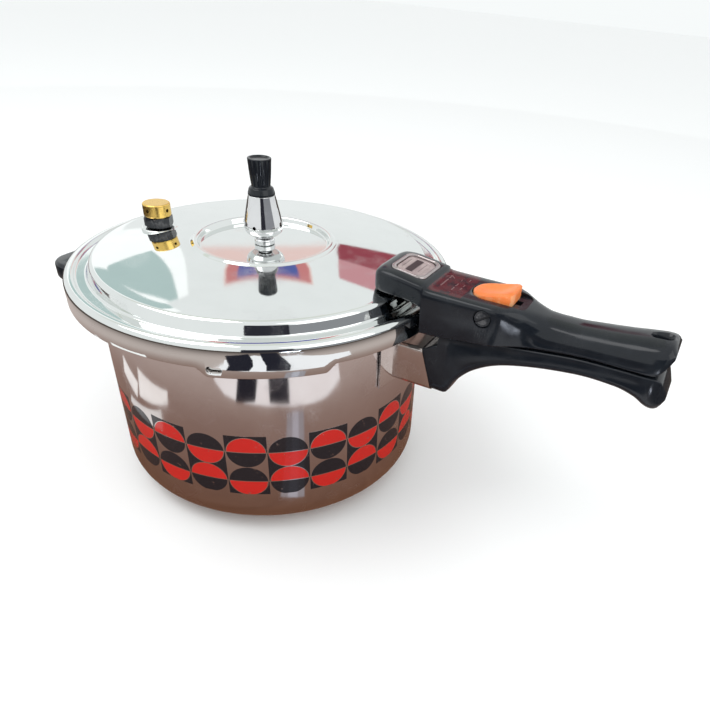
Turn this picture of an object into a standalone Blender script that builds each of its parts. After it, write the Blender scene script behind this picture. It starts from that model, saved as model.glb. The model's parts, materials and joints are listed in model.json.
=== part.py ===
"""Stovetop pressure cooker with a turning bayonet lid, a weight regulator and a sprung safety valve.

Every sub-part is one named object. Metres, +Z up. The origin is the centre of the flat base, on the
worktop, and +X runs out along the long handles. The lid is closed and its two long handles lie one
over the other. Heights of everything near the rim are counted from RIM, the height at which the lid's
rounded edge meets its straight skirt.
"""

import math

import bmesh
import bpy
from mathutils import Matrix, Vector

MM = 0.001

# Fits
GAP = 0.3 * MM              # between pieces that touch
RUNNING = 0.4 * MM          # between pieces that slide on each other
HANDLE_GAP = 1.5 * MM       # between the lid handle and the pot handle below it

# Pot
SEGMENTS = 60               # facets around the large turned pieces
POT_R = 104 * MM            # outside of the straight wall
POT_WALL = 2 * MM
POT_CORNER_R = 18 * MM      # outside radius between the wall and the base
RIM = 143 * MM              # height of the lid's edge over the worktop
DISC_R = 82 * MM
DISC_T = 4 * MM

# Lid
LID_R = 120 * MM
SHEET = 1.5 * MM
SKIRT_H = 10.5 * MM         # straight skirt under the rim line
HOOK_H = 15.5 * MM          # the same where a hook turns in
CHANNEL_Z = 1.6 * MM        # flat channel over the sealing ring
STEP_R = 106.2 * MM         # foot of the wall between channel and plateau
PLATEAU_R = 102.5 * MM
PLATEAU_Z = 9.3 * MM        # plateau height at its edge
BEAD_R = 45.1 * MM          # outer foot of the raised bead round the dish
BEAD_W = 5.9 * MM
BEAD_Z = 16.3 * MM
PLATEAU_TOP_Z = 15.1 * MM   # plateau height at the bead
DOME_R = 78 * MM            # where the plateau's curve is given a point between bead and edge
DISH_Z = 12.7 * MM

# Bayonet
LUG_COUNT = 3
LUG_SPAN = 36               # degrees, the same for pot lugs and lid hooks
LUG_FIRST = -53             # degrees, middle of the first lug
LUG_LIP = 2 * MM
HOOK_REACH = 9.2 * MM       # from the outside of the skirt to the hook's inner edge
WINDOW_ANGLE = -66
WINDOW_W = 8.4 * MM
WINDOW_H = 4 * MM

# Sealing ring
RING_T = 3.2 * MM
RING_IN_R = 103 * MM

# Vent pipe and weight, on the lid's axis
PIPE_THREAD_R = 4.9 * MM
PIPE_FLANGE_R = 6.5 * MM
PIPE_FLANGE_H = 3.7 * MM
PIPE_NECK_R = 3.4 * MM
PIPE_BORE_R = 1.3 * MM
PIPE_TOP_Z = 30 * MM
WEIGHT_Z = 18.5 * MM        # underside of the weight
WEIGHT_H = 24.8 * MM
WEIGHT_R = 12.25 * MM
WEIGHT_BORE_R = 4.3 * MM
STEAM_HOLE_R = 1.1 * MM
STEAM_HOLES = 4
KNOB_COLLAR_R = 8.2 * MM
KNOB_COLLAR_H = 3.9 * MM
KNOB_NECK_R = 5.9 * MM
KNOB_TOP_R = 7.15 * MM
KNOB_H = 20.9 * MM
STUD_R = 2 * MM

# Safety valve
VALVE_X = -71 * MM
VALVE_Y = -18 * MM
VALVE_SEAT_R = 11.5 * MM
VALVE_SEAT_RISE = 1.1 * MM  # flat seat over the plateau at the valve's middle
HEX_AF = 17 * MM
HEX_H = 6.2 * MM
CAP_R = 9.3 * MM
CAP_H = 9.2 * MM
CAP_WALL = 2 * MM
VALVE_BORE_R = 2.7 * MM
VALVE_LIFT = 2.5 * MM
SPRING_WIRE_R = 0.4 * MM
SPRING_TURNS = 5

# Lid handle
LID_GRIP_HALF = 20 * MM     # half width of the block at its button
HANDLE_TIP_X = 257.5 * MM
NOSE_X = 88.5 * MM
PANEL_Z = 19.5 * MM         # flat top round the button
NOSE_Z = 24.8 * MM          # raised top under the badge
BOLT_X = 158 * MM
BOLT_Z = 12 * MM
BOLT_R = 2 * MM
BOLT_HEAD_R = 4.7 * MM
BRACKET_HALF = 12.2 * MM
BRACKET_T = 2 * MM
RECESS_DEPTH = 2 * MM
BUTTON_X0 = 145 * MM
BUTTON_X1 = 170 * MM
BUTTON_HALF = 10 * MM
BUTTON_Z = 25.8 * MM
LATCH_TRAVEL = 7 * MM
TONGUE_X = 127 * MM
TONGUE_T = 2.5 * MM
TONGUE_HALF = 3 * MM
TONGUE_Z = -11.5 * MM
BAR_Z = 5.3 * MM
BAR_T = 2 * MM

# Pot handle and its guard
GUARD_HALF = 16 * MM
GUARD_T = 1.2 * MM
GUARD_TOP_Z = -19 * MM
GUARD_LOW_Z = -45 * MM
SADDLE_SPAN = 30            # degrees
CATCH_X = 131 * MM
CATCH_T = 1.5 * MM
CATCH_SILL = 1.2 * MM       # metal left under the slot that the tongue enters

# Helper handle
HELPER_TOP_Z = -19 * MM
HELPER_T = 12 * MM
HELPER_REACH = 152 * MM     # from the pot's axis to the outer edge
HELPER_HALF = 50 * MM
HELPER_BAR = 15 * MM
HELPER_ARM = 14.5 * MM
HELPER_ROOT_X = 118 * MM
HELPER_PLATE_T = 1.5 * MM
HELPER_SCREW_Y = 22 * MM


def clear_scene():
    for obj in list(bpy.data.objects):
        bpy.data.objects.remove(obj, do_unlink=True)


def make_material(name, colour, roughness, metallic):
    material = bpy.data.materials.new(name)
    material.use_nodes = True
    shader = material.node_tree.nodes["Principled BSDF"]
    shader.inputs["Base Color"].default_value = (*colour, 1.0)
    shader.inputs["Roughness"].default_value = roughness
    shader.inputs["Metallic"].default_value = metallic
    return material


def object_from(name, bm):
    bmesh.ops.remove_doubles(bm, verts=bm.verts, dist=1e-7)
    bmesh.ops.recalc_face_normals(bm, faces=bm.faces)
    mesh = bpy.data.meshes.new(name)
    bm.to_mesh(mesh)
    bm.free()
    obj = bpy.data.objects.new(name, mesh)
    bpy.context.scene.collection.objects.link(obj)
    return obj


def finish(obj, material, parent=None, origin=(0, 0, 0)):
    """Gives the object its material, its origin on its joint's axis, and its parent."""
    origin = Vector(origin)
    obj.data.transform(Matrix.Translation(-origin))
    obj.location = origin
    obj.data.materials.append(material)
    obj.data.shade_smooth()
    obj.data.set_sharp_from_angle(angle=math.radians(35))
    if parent is not None:
        obj.parent = parent
        obj.location = origin - parent.location
    return obj


def axis_empty(name, place):
    empty = bpy.data.objects.new(name, None)
    empty.location = place
    empty.empty_display_size = 0.02
    bpy.context.scene.collection.objects.link(empty)
    return empty


def turned(name, profile, steps=24, start=0.0, sweep=360.0, centre=(0.0, 0.0)):
    """A closed (radius, height) profile turned about Z. A sweep under 360 degrees gets flat ends."""
    bm = bmesh.new()
    whole = sweep >= 360.0
    count = steps if whole else steps + 1
    rings = []
    for i in range(count):
        angle = math.radians(start + sweep * i / steps)
        turn = (math.cos(angle), math.sin(angle))
        ring = [bm.verts.new((centre[0] + r * turn[0], centre[1] + r * turn[1], z)) for r, z in profile]
        rings.append(ring)
    size = len(profile)
    for i in range(steps):
        a = rings[i]
        b = rings[(i + 1) % count]
        for j in range(size):
            k = (j + 1) % size
            if profile[j][0] == 0 and profile[k][0] == 0:
                continue
            bm.faces.new((a[j], a[k], b[k], b[j]))
    if not whole:
        bm.faces.new(rings[0])
        bm.faces.new(rings[-1][::-1])
    bmesh.ops.remove_doubles(bm, verts=bm.verts, dist=1e-7)
    return object_from(name, bm)


def extruded(name, outline, low, high, plane="XY"):
    """An outline in the XY or XZ plane made solid between low and high along the third axis."""
    def point(u, v, w):
        return (u, v, w) if plane == "XY" else (u, w, v)

    bm = bmesh.new()
    bottom = [bm.verts.new(point(u, v, low)) for u, v in outline]
    top = [bm.verts.new(point(u, v, high)) for u, v in outline]
    bm.faces.new(bottom[::-1])
    bm.faces.new(top)
    for i in range(len(outline)):
        k = (i + 1) % len(outline)
        bm.faces.new((bottom[i], bottom[k], top[k], top[i]))
    return object_from(name, bm)


def box(name, low, high):
    outline = [(low[0], low[1]), (high[0], low[1]), (high[0], high[1]), (low[0], high[1])]
    return extruded(name, outline, low[2], high[2])


def lofted(name, sections):
    """A solid through sections that all have the same number of points."""
    bm = bmesh.new()
    rings = [[bm.verts.new(point) for point in section] for section in sections]
    size = len(sections[0])
    for a, b in zip(rings, rings[1:]):
        for j in range(size):
            k = (j + 1) % size
            bm.faces.new((a[j], a[k], b[k], b[j]))
    bm.faces.new(rings[0][::-1])
    bm.faces.new(rings[-1])
    return object_from(name, bm)


def boolean(obj, other, operation, solver="EXACT"):
    other.hide_render = True
    other.display_type = "WIRE"
    modifier = obj.modifiers.new(other.name, "BOOLEAN")
    modifier.operation = operation
    modifier.solver = solver
    modifier.object = other


def cut(obj, *cutters):
    for cutter in cutters:
        boolean(obj, cutter, "DIFFERENCE")


def join(obj, *others):
    for other in others:
        boolean(obj, other, "UNION")


def arc(cx, cy, radius, first, last, steps):
    """Points of an arc, angles in degrees."""
    points = []
    for i in range(steps + 1):
        angle = math.radians(first + (last - first) * i / steps)
        points.append((cx + radius * math.cos(angle), cy + radius * math.sin(angle)))
    return points


def hexagon(x, y, across_flats):
    return arc(x, y, across_flats / math.sqrt(3), 0, 300, 5)


def cylinder(name, x, y, radius, low, high, steps=20):
    return extruded(name, arc(x, y, radius, 0, 360 - 360 / steps, steps - 1), low, high)


def pin_along_y(name, x, z, radius, low, high, steps=16):
    return extruded(name, arc(x, z, radius, 0, 360 - 360 / steps, steps - 1), low, high, "XZ")


def pin_along_x(name, y, z, radius, low, high, steps=16):
    pin = cylinder(name, 0, 0, radius, low, high, steps)
    pin.data.transform(Matrix.Rotation(math.radians(90), 4, "Y"))
    pin.data.transform(Matrix.Translation((0, y, z)))
    return pin


def along(table, x):
    """Straight-line reading of a table of (x, value) pairs."""
    if x <= table[0][0]:
        return table[0][1]
    for (x0, v0), (x1, v1) in zip(table, table[1:]):
        if x <= x1:
            return v0 + (v1 - v0) * (x - x0) / (x1 - x0)
    return table[-1][1]


def dome(r):
    """Height of the lid's plateau over RIM at radius r: part of a large sphere."""
    drop = PLATEAU_TOP_Z - PLATEAU_Z
    return PLATEAU_TOP_Z - drop * (r * r - BEAD_R**2) / (PLATEAU_R**2 - BEAD_R**2)


def lug_starts():
    return [LUG_FIRST - LUG_SPAN / 2 + 360 / LUG_COUNT * i for i in range(LUG_COUNT)]


# ---------------------------------------------------------------- pot

LUG_TOP_Z = RIM + CHANNEL_Z - SHEET - GAP - RING_T - GAP
HOOK_TOP_Z = RIM - HOOK_H + SHEET
HOOK_IN_R = LID_R - HOOK_REACH
LUG_R = LID_R - SHEET - 3 * RUNNING
POT_BOTTOM_Z = DISC_T + GAP


def make_base_disc(steel):
    edge = 1 * MM
    profile = [
        (0, 0),
        (DISC_R - edge, 0),
        (DISC_R, edge),
        (DISC_R, DISC_T),
        (0, DISC_T),
    ]
    finish(turned("base_disc", profile, SEGMENTS), steel)


def make_pot_body(steel):
    inner_r = POT_R - POT_WALL
    corner = POT_R - POT_CORNER_R
    centre_z = POT_BOTTOM_Z + POT_CORNER_R
    flange_r = HOOK_IN_R - 1.5 * RUNNING
    flange_low = LUG_TOP_Z - POT_WALL
    lip_low = flange_low - 2.4 * MM
    profile = [(0, POT_BOTTOM_Z + POT_WALL)]
    profile += arc(corner, centre_z, POT_CORNER_R - POT_WALL, -90, 0, 4)
    profile += [
        (inner_r, LUG_TOP_Z),
        (flange_r, LUG_TOP_Z),
        (flange_r, lip_low),
        (flange_r - POT_WALL, lip_low),
        (flange_r - POT_WALL, flange_low),
        (POT_R, flange_low),
    ]
    profile += arc(corner, centre_z, POT_CORNER_R, 0, -90, 4)
    profile += [(0, POT_BOTTOM_Z)]
    pot = turned("pot_body", profile, SEGMENTS, LUG_FIRST - LUG_SPAN / 2)
    lug_low = HOOK_TOP_Z + RUNNING
    lug_top = LUG_TOP_Z - 0.1 * MM
    root_r = flange_r - POT_WALL / 2
    lug = [
        (root_r, lug_top),
        (LUG_R, lug_top),
        (LUG_R, lug_low),
        (LUG_R - LUG_LIP, lug_low),
        (LUG_R - LUG_LIP, flange_low),
        (root_r, flange_low),
    ]
    facet = 360 / SEGMENTS
    for i, start in enumerate(lug_starts()):
        tab = turned(f"lug_{i + 1}", lug, round(LUG_SPAN / facet), start, LUG_SPAN)
        boolean(pot, tab, "UNION", "MANIFOLD")
    finish(pot, steel)


# ---------------------------------------------------------------- pot handle

# Underside of the lid handle from its wing at the skirt to its tip
PARTING = [
    (121.8 * MM, -6.9 * MM),
    (152 * MM, -4 * MM),
    (185 * MM, -0.5 * MM),
    (217 * MM, 3.2 * MM),
    (250 * MM, 4.6 * MM),
]


def section(x, half, low, high, flat_z, power, upward, points=14):
    """Handle section across X: one flat side, and the other rounded by a superellipse.

    flat_z is where the straight sides end and the rounding begins.
    """
    level, crown = (low, high) if upward else (high, low)
    ring = [(x, half, level), (x, half, flat_z)]
    for i in range(1, points):
        angle = math.pi * i / points
        across = math.copysign(abs(math.cos(angle)) ** (2 / power), math.cos(angle))
        up = math.sin(angle) ** (2 / power)
        ring.append((x, half * across, flat_z + (crown - flat_z) * up))
    ring += [(x, -half, flat_z), (x, -half, level)]
    return ring


def make_pot_handle(black):
    step_x = CATCH_X + CATCH_T + GAP
    ledge_z = TONGUE_Z - RUNNING - CATCH_SILL - GAP
    end_x = HANDLE_TIP_X + 2 * MM
    top = [
        (step_x - 0.3 * MM, ledge_z),
        (step_x, along(PARTING, step_x) - HANDLE_GAP),
        (185 * MM, along(PARTING, 185 * MM) - HANDLE_GAP),
        (217 * MM, along(PARTING, 217 * MM) - HANDLE_GAP),
        (HANDLE_TIP_X - 5 * MM, along(PARTING, HANDLE_TIP_X - 5 * MM) - HANDLE_GAP),
        (end_x, -6 * MM),
    ]
    front_x = GUARD_FRONT[0][0] + GAP
    low = [
        (front_x, GUARD_TOP_Z),
        (GUARD_FRONT[1][0] + GAP, GUARD_LOW_Z),
        (139 * MM, -45.7 * MM),
        (144.5 * MM, -36.5 * MM),
        (155 * MM, -26 * MM),
        (174 * MM, -17.5 * MM),
        (200 * MM, -11.8 * MM),
        (222 * MM, -9.5 * MM),
        (234 * MM, -10 * MM),
        (244 * MM, -12.6 * MM),
        (251 * MM, -16.4 * MM),
        (256 * MM, -17.4 * MM),
        (end_x, -10 * MM),
    ]
    half = [
        (front_x, GUARD_HALF),
        (140 * MM, GUARD_HALF),
        (155 * MM, 14.5 * MM),
        (175 * MM, 13 * MM),
        (200 * MM, 13.2 * MM),
        (230 * MM, 14.6 * MM),
        (250 * MM, 15.5 * MM),
        (256 * MM, 13.5 * MM),
        (end_x, 9 * MM),
    ]
    places = sorted({x for table in (top, low, half) for x, _ in table} | {front_x})
    sections = []
    for x in places:
        z_top = RIM + along(top, x)
        z_low = RIM + along(low, x)
        power = along([(140 * MM, 9.0), (165 * MM, 3.0)], x)
        straight = along([(140 * MM, 0.15), (165 * MM, 0.6)], x)
        flat_z = z_low + (z_top - z_low) * straight
        sections.append(section(x, along(half, x), z_low, z_top, flat_z, power, False, 10))
    handle = lofted("pot_handle", sections)
    plug_half = GUARD_HALF - GUARD_T - RUNNING
    plug_low = RIM + GUARD_LOW_Z + GUARD_T + RUNNING
    plug_top = RIM + GUARD_TOP_Z - GUARD_T - RUNNING
    plug = box("plug", (SCREW_X - 8 * MM, -plug_half, plug_low), (step_x + 6 * MM, plug_half, plug_top))
    join(handle, plug)
    hole = cylinder("plug_hole", SCREW_X, 0, SCREW_R + RUNNING, plug_low - MM, plug_low + 15 * MM, 12)
    notch_half = TONGUE_HALF + RUNNING
    notch = box(
        "latch_notch",
        (CATCH_X - 2 * MM, -notch_half, RIM + ledge_z + 0.2 * MM),
        (TONGUE_X + TONGUE_T + LATCH_TRAVEL + 4 * MM, notch_half, RIM),
    )
    cut(handle, hole, notch)
    finish(handle, black)


SCREW_X = 117 * MM
SCREW_R = 2 * MM
GUARD_FRONT = [(122.8 * MM, GUARD_TOP_Z), (131 * MM, GUARD_LOW_Z)]


def make_guard(steel):
    """Stamped sleeve round the root of the pot handle, on a saddle welded to the wall."""
    wall_r = POT_R + GAP
    saddle_t = 1.4 * MM
    low = RIM + GUARD_LOW_Z
    top = RIM + GUARD_TOP_Z
    outline = [
        (wall_r - 3 * MM, low),
        (GUARD_FRONT[1][0], low),
        (GUARD_FRONT[0][0], top),
        (wall_r - 3 * MM, top),
    ]
    guard = extruded("handle_guard", outline, -GUARD_HALF, GUARD_HALF, "XZ")
    inside = box(
        "guard_inside",
        (POT_R - 10 * MM, -GUARD_HALF + GUARD_T, low + GUARD_T),
        (140 * MM, GUARD_HALF - GUARD_T, top - GUARD_T),
    )
    wall = cylinder("guard_wall_cutter", 0, 0, wall_r, low - 10 * MM, top + 10 * MM, 120)
    cut(guard, inside, wall)
    saddle_profile = [
        (wall_r + 0.15 * MM, low - 3 * MM),
        (wall_r + saddle_t, low - 3 * MM),
        (wall_r + saddle_t, top + 1.2 * MM),
        (wall_r + 0.15 * MM, top + 1.2 * MM),
    ]
    join(guard, turned("saddle", saddle_profile, 10, -SADDLE_SPAN / 2, SADDLE_SPAN))
    hole = cylinder("guard_hole", SCREW_X, 0, SCREW_R + RUNNING, low - MM, low + GUARD_T + MM, 12)
    cut(guard, hole)
    finish(guard, steel)


def make_pot_handle_screw(steel):
    low = RIM + GUARD_LOW_Z
    profile = [
        (0, low - GAP - 2.2 * MM),
        (3.4 * MM, low - GAP - 2.2 * MM),
        (4.4 * MM, low - GAP - 1.2 * MM),
        (4.4 * MM, low - GAP),
        (SCREW_R, low - GAP),
        (SCREW_R, low + 14 * MM),
        (0, low + 14 * MM),
    ]
    finish(turned("pot_handle_screw", profile, 12, centre=(SCREW_X, 0)), steel)


def make_catch_plate(steel):
    """Steel fork let into the pot handle: the latch's tongue slides back into its slot."""
    floor = RIM + TONGUE_Z - RUNNING
    low = floor - CATCH_SILL
    top = RIM + along(PARTING, CATCH_X) - HANDLE_GAP - 0.5 * MM
    half = 9 * MM
    slot = TONGUE_HALF + RUNNING
    plate = box("catch_plate", (CATCH_X, -half, low), (CATCH_X + CATCH_T, half, top))
    cut(plate, box("catch_slot", (CATCH_X - MM, -slot, floor), (CATCH_X + CATCH_T + MM, slot, top + MM)))
    finish(plate, steel)


# ---------------------------------------------------------------- helper handle


def make_helper_handle(black):
    low = RIM + HELPER_TOP_Z - HELPER_T
    top = RIM + HELPER_TOP_Z
    corner = 15 * MM
    outline = arc(-HELPER_REACH + corner, HELPER_HALF - corner, corner, 90, 180, 5)
    outline += arc(-HELPER_REACH + corner, -HELPER_HALF + corner, corner, 180, 270, 5)
    outline += [(-60 * MM, -HELPER_HALF), (-60 * MM, HELPER_HALF)]
    ear = extruded("helper_handle", outline, low, top)
    plate_r = POT_R + GAP + HELPER_PLATE_T + GAP
    wall = cylinder("helper_wall_cutter", 0, 0, plate_r, low - MM, top + MM, 120)
    inner = HELPER_HALF - HELPER_ARM
    small = 8 * MM
    bar_x = -HELPER_REACH + HELPER_BAR
    root_x = -HELPER_ROOT_X
    gap_outline = arc(bar_x + small, inner - small, small, 90, 180, 3)
    gap_outline += arc(bar_x + small, -inner + small, small, 180, 270, 3)
    gap_outline += [(root_x, -inner), (root_x, inner)]
    gap = extruded("finger_gap", gap_outline, low - MM, top + MM)
    cut(ear, wall, gap)
    for side, y in (("left", HELPER_SCREW_Y), ("right", -HELPER_SCREW_Y)):
        hole = pin_along_x(f"ear_hole_{side}", y, helper_screw_z(), SCREW_R + RUNNING, -125 * MM, -80 * MM, 12)
        cut(ear, hole)
    finish(ear, black)


def helper_screw_z():
    return RIM + HELPER_TOP_Z - HELPER_T / 2


def make_helper_plate(steel):
    inner_r = POT_R + GAP
    low = RIM + HELPER_TOP_Z - HELPER_T - 2.5 * MM
    top = RIM + HELPER_TOP_Z + 1.5 * MM
    profile = [(inner_r, low), (inner_r + HELPER_PLATE_T, low), (inner_r + HELPER_PLATE_T, top), (inner_r, top)]
    plate = turned("helper_plate", profile, 10, 158, 44)
    for side, y in (("left", HELPER_SCREW_Y), ("right", -HELPER_SCREW_Y)):
        cut(plate, pin_along_x(f"plate_hole_{side}", y, helper_screw_z(), SCREW_R + RUNNING, -112 * MM, -80 * MM, 12))
    finish(plate, steel)


def make_helper_screws(steel):
    for side, y in (("left", HELPER_SCREW_Y), ("right", -HELPER_SCREW_Y)):
        head_x = -HELPER_ROOT_X - GAP
        tip_x = -math.sqrt((POT_R + GAP) ** 2 - HELPER_SCREW_Y**2) - 1.2 * MM
        profile = [
            (0, 0),
            (SCREW_R, 0),
            (SCREW_R, tip_x - head_x),
            (4 * MM, tip_x - head_x),
            (4 * MM, tip_x - head_x + 1.2 * MM),
            (3 * MM, tip_x - head_x + 2.2 * MM),
            (0, tip_x - head_x + 2.2 * MM),
        ]
        screw = turned(f"helper_screw_{side}", profile, 12)
        screw.data.transform(Matrix.Rotation(math.radians(-90), 4, "Y"))
        screw.data.transform(Matrix.Translation((tip_x, y, helper_screw_z())))
        finish(screw, steel)


# ---------------------------------------------------------------- lid


def lid_profile():
    """Closed section of the pressed lid: the top side outward from the hole, then the underside back."""
    hole = PIPE_THREAD_R + GAP
    bead_in = BEAD_R - BEAD_W
    top = [(hole, DISH_Z), (bead_in, DISH_Z), (bead_in + 1.1 * MM, DISH_Z + 0.8 * MM)]
    top += [(bead_in + 1.9 * MM, BEAD_Z - 0.9 * MM), (bead_in + 3.1 * MM, BEAD_Z)]
    top += [(BEAD_R - 1.3 * MM, BEAD_Z - 0.3 * MM), (BEAD_R, PLATEAU_TOP_Z)]
    top += [(r, dome(r)) for r in (DOME_R, PLATEAU_R)]
    top += arc(PLATEAU_R, PLATEAU_Z - 3 * MM, 3 * MM, 60, 10, 2)
    top += [(STEP_R, CHANNEL_Z + 1.9 * MM), (STEP_R + 1.8 * MM, CHANNEL_Z), (LID_R - 6.9 * MM, CHANNEL_Z)]
    top += [(LID_R - 5 * MM, CHANNEL_Z + 1.3 * MM), (LID_R - 3.5 * MM, CHANNEL_Z + 1.9 * MM)]
    top += [(LID_R - 1.5 * MM, CHANNEL_Z + 1.3 * MM), (LID_R - 0.3 * MM, -0.2 * MM), (LID_R, -1.8 * MM)]
    top += [(LID_R, -SKIRT_H)]
    under = [(LID_R - SHEET, -SKIRT_H), (LID_R - SHEET, -2 * MM), (LID_R - 1.9 * MM, 0.5 * MM)]
    under += [(LID_R - 3 * MM, 1.8 * MM), (LID_R - 4.2 * MM, 1.6 * MM), (LID_R - 6.3 * MM, CHANNEL_Z - SHEET)]
    under += [(STEP_R + 1.1 * MM, CHANNEL_Z - SHEET), (STEP_R - 1.5 * MM, CHANNEL_Z + 1.5 * MM)]
    under += [(STEP_R - 2.3 * MM, PLATEAU_Z - 3.4 * MM), (PLATEAU_R - 0.4 * MM, PLATEAU_Z - SHEET)]
    under += [(DOME_R, dome(DOME_R) - SHEET)]
    under += [(BEAD_R + 0.2 * MM, PLATEAU_TOP_Z - SHEET), (BEAD_R - 2.6 * MM, BEAD_Z - SHEET)]
    under += [(bead_in + 2.4 * MM, DISH_Z + 0.2 * MM), (bead_in + 0.8 * MM, DISH_Z - SHEET)]
    under += [(hole, DISH_Z - SHEET)]
    return [(r, RIM + z) for r, z in top + under]


def valve_radius():
    return math.hypot(VALVE_X, VALVE_Y)


def valve_seat_z():
    return RIM + dome(valve_radius()) + VALVE_SEAT_RISE


def make_lid(steel, parent):
    lid = turned("lid_shell", lid_profile(), SEGMENTS, LUG_FIRST - LUG_SPAN / 2)
    inner_r = LID_R - SHEET
    hook = [
        (LID_R, RIM - SKIRT_H + MM),
        (LID_R, RIM - HOOK_H),
        (HOOK_IN_R, RIM - HOOK_H),
        (HOOK_IN_R, HOOK_TOP_Z),
        (inner_r, HOOK_TOP_Z),
        (inner_r, RIM - SKIRT_H + MM),
    ]
    facet = 360 / SEGMENTS
    for i, start in enumerate(lug_starts()):
        tab = turned(f"hook_{i + 1}", hook, round(LUG_SPAN / facet), start, LUG_SPAN)
        boolean(lid, tab, "UNION", "MANIFOLD")
    low = RIM + dome(valve_radius() + VALVE_SEAT_R) - 1 * MM
    seat = cylinder("valve_seat_pad", VALVE_X, VALVE_Y, VALVE_SEAT_R, low, valve_seat_z(), 24)
    join(lid, seat)
    hole = cylinder("valve_hole", VALVE_X, VALVE_Y, PIPE_THREAD_R + GAP, RIM, RIM + 30 * MM, 16)
    window = window_cutter()
    cut(lid, hole, window)
    finish(lid, steel, parent)


def window_cutter():
    """Oval window through the skirt of the first hook, for the sealing ring to blow out through."""
    round_r = WINDOW_H / 2
    shift = WINDOW_W / 2 - round_r
    outline = arc(shift, 0, round_r, -90, 90, 5) + arc(-shift, 0, round_r, 90, 270, 5)
    cutter = extruded("window_cutter", outline, LID_R - 4 * MM, LID_R + 3 * MM)
    cutter.data.transform(Matrix.Rotation(math.radians(90), 4, "X"))
    cutter.data.transform(Matrix.Rotation(math.radians(180), 4, "Z"))
    cutter.data.transform(Matrix.Rotation(math.radians(WINDOW_ANGLE - 90), 4, "Z"))
    cutter.data.transform(Matrix.Translation((0, 0, RIM - SKIRT_H - 0.5 * MM)))
    return cutter


def make_sealing_ring(silicone, parent):
    top = RIM + CHANNEL_Z - SHEET - GAP
    low = top - RING_T
    outer = LID_R - SHEET - 2 * RUNNING
    profile = [
        (RING_IN_R, low + 0.8 * MM),
        (RING_IN_R, low),
        (outer, low),
        (outer, top - 1.6 * MM),
        (outer - 2 * MM, top),
        (RING_IN_R + 5.5 * MM, top),
        (RING_IN_R + 4.6 * MM, low + 1.6 * MM),
    ]
    finish(turned("sealing_ring", profile, SEGMENTS, LUG_FIRST - LUG_SPAN / 2), silicone, parent)


# ---------------------------------------------------------------- vent pipe and weight


def make_vent_pipe(steel, parent):
    foot = RIM + DISH_Z + GAP
    shoulder = foot + PIPE_FLANGE_H
    profile = [
        (PIPE_BORE_R, RIM + 2 * MM),
        (PIPE_THREAD_R, RIM + 2 * MM),
        (PIPE_THREAD_R, foot),
        (PIPE_FLANGE_R, foot),
        (PIPE_FLANGE_R, shoulder - 0.8 * MM),
        (PIPE_FLANGE_R - 0.8 * MM, shoulder),
        (PIPE_NECK_R, shoulder),
        (PIPE_NECK_R, RIM + PIPE_TOP_Z - 1.8 * MM),
        (PIPE_BORE_R + 0.7 * MM, RIM + PIPE_TOP_Z),
        (PIPE_BORE_R, RIM + PIPE_TOP_Z),
    ]
    finish(turned("vent_pipe", profile[::-1], 18), steel, parent)


def make_hex_nut(name, x, y, across, bore, low, high, material, parent):
    nut = extruded(name, hexagon(x, y, across), low, high)
    cut(nut, cylinder(f"{name}_bore", x, y, bore, low - MM, high + MM, 18))
    finish(nut, material, parent)


def make_weight_body(chrome, parent):
    low = RIM + WEIGHT_Z
    top = low + WEIGHT_H
    seat = RIM + PIPE_TOP_Z + GAP
    profile = [
        (STUD_R + GAP, top),
        (KNOB_COLLAR_R, top),
        (KNOB_COLLAR_R + 1.6 * MM, low + 17.5 * MM),
        (WEIGHT_R - 0.7 * MM, low + 9.5 * MM),
        (WEIGHT_R, low + 7 * MM),
        (WEIGHT_R - 0.1 * MM, low + 5.2 * MM),
        (WEIGHT_R - 0.8 * MM, low + 3 * MM),
        (WEIGHT_R - 2.4 * MM, low + 0.8 * MM),
        (WEIGHT_R - 4.2 * MM, low),
        (WEIGHT_BORE_R, low),
        (WEIGHT_BORE_R, seat - 1.5 * MM),
        (PIPE_BORE_R + 0.4 * MM, seat + 0.4 * MM),
        (PIPE_BORE_R + 0.4 * MM, seat + 2.4 * MM),
        (STUD_R + GAP, seat + 2.9 * MM),
    ]
    body = turned("weight_body", profile, 24)
    for i in range(STEAM_HOLES):
        hole = pin_along_x(f"steam_hole_{i + 1}", 0, 0, STEAM_HOLE_R, WEIGHT_BORE_R - MM, WEIGHT_R + 2 * MM, 6)
        hole.data.transform(Matrix.Rotation(math.radians(360 / STEAM_HOLES * i - 80), 4, "Z"))
        hole.data.transform(Matrix.Translation((0, 0, low + 6.6 * MM)))
        cut(body, hole)
    finish(body, chrome, parent, (0, 0, low))


def knob_foot():
    return RIM + WEIGHT_Z + WEIGHT_H + GAP


def make_weight_knob(black, parent):
    foot = knob_foot()
    top = foot + KNOB_H
    bore_top = foot + 11 * MM
    profile = [
        (STUD_R + GAP, foot),
        (STUD_R + GAP, bore_top),
        (0, bore_top),
        (0, top - 1.2 * MM),
        (KNOB_TOP_R - 1.6 * MM, top - 0.9 * MM),
        (KNOB_TOP_R - 0.7 * MM, top),
        (KNOB_TOP_R, top - 0.7 * MM),
        (KNOB_NECK_R, foot + KNOB_COLLAR_H + 0.5 * MM),
        (KNOB_NECK_R + 0.4 * MM, foot + KNOB_COLLAR_H),
        (KNOB_COLLAR_R - 0.8 * MM, foot + KNOB_COLLAR_H - 1.4 * MM),
        (KNOB_COLLAR_R, foot),
    ]
    finish(turned("weight_knob", profile[::-1], 20), black, parent, (0, 0, foot))


def make_weight_stud(steel, parent):
    """Stud that holds the knob on the weight; it ends in the channel over the seat."""
    low = RIM + PIPE_TOP_Z + GAP + 3.6 * MM
    top = knob_foot() + 10.4 * MM
    profile = [(0, low), (STUD_R - 0.6 * MM, low), (STUD_R, low + 0.8 * MM), (STUD_R, top), (0, top)]
    finish(turned("weight_stud", profile, 12), steel, parent, (0, 0, low))


# ---------------------------------------------------------------- safety valve


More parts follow.
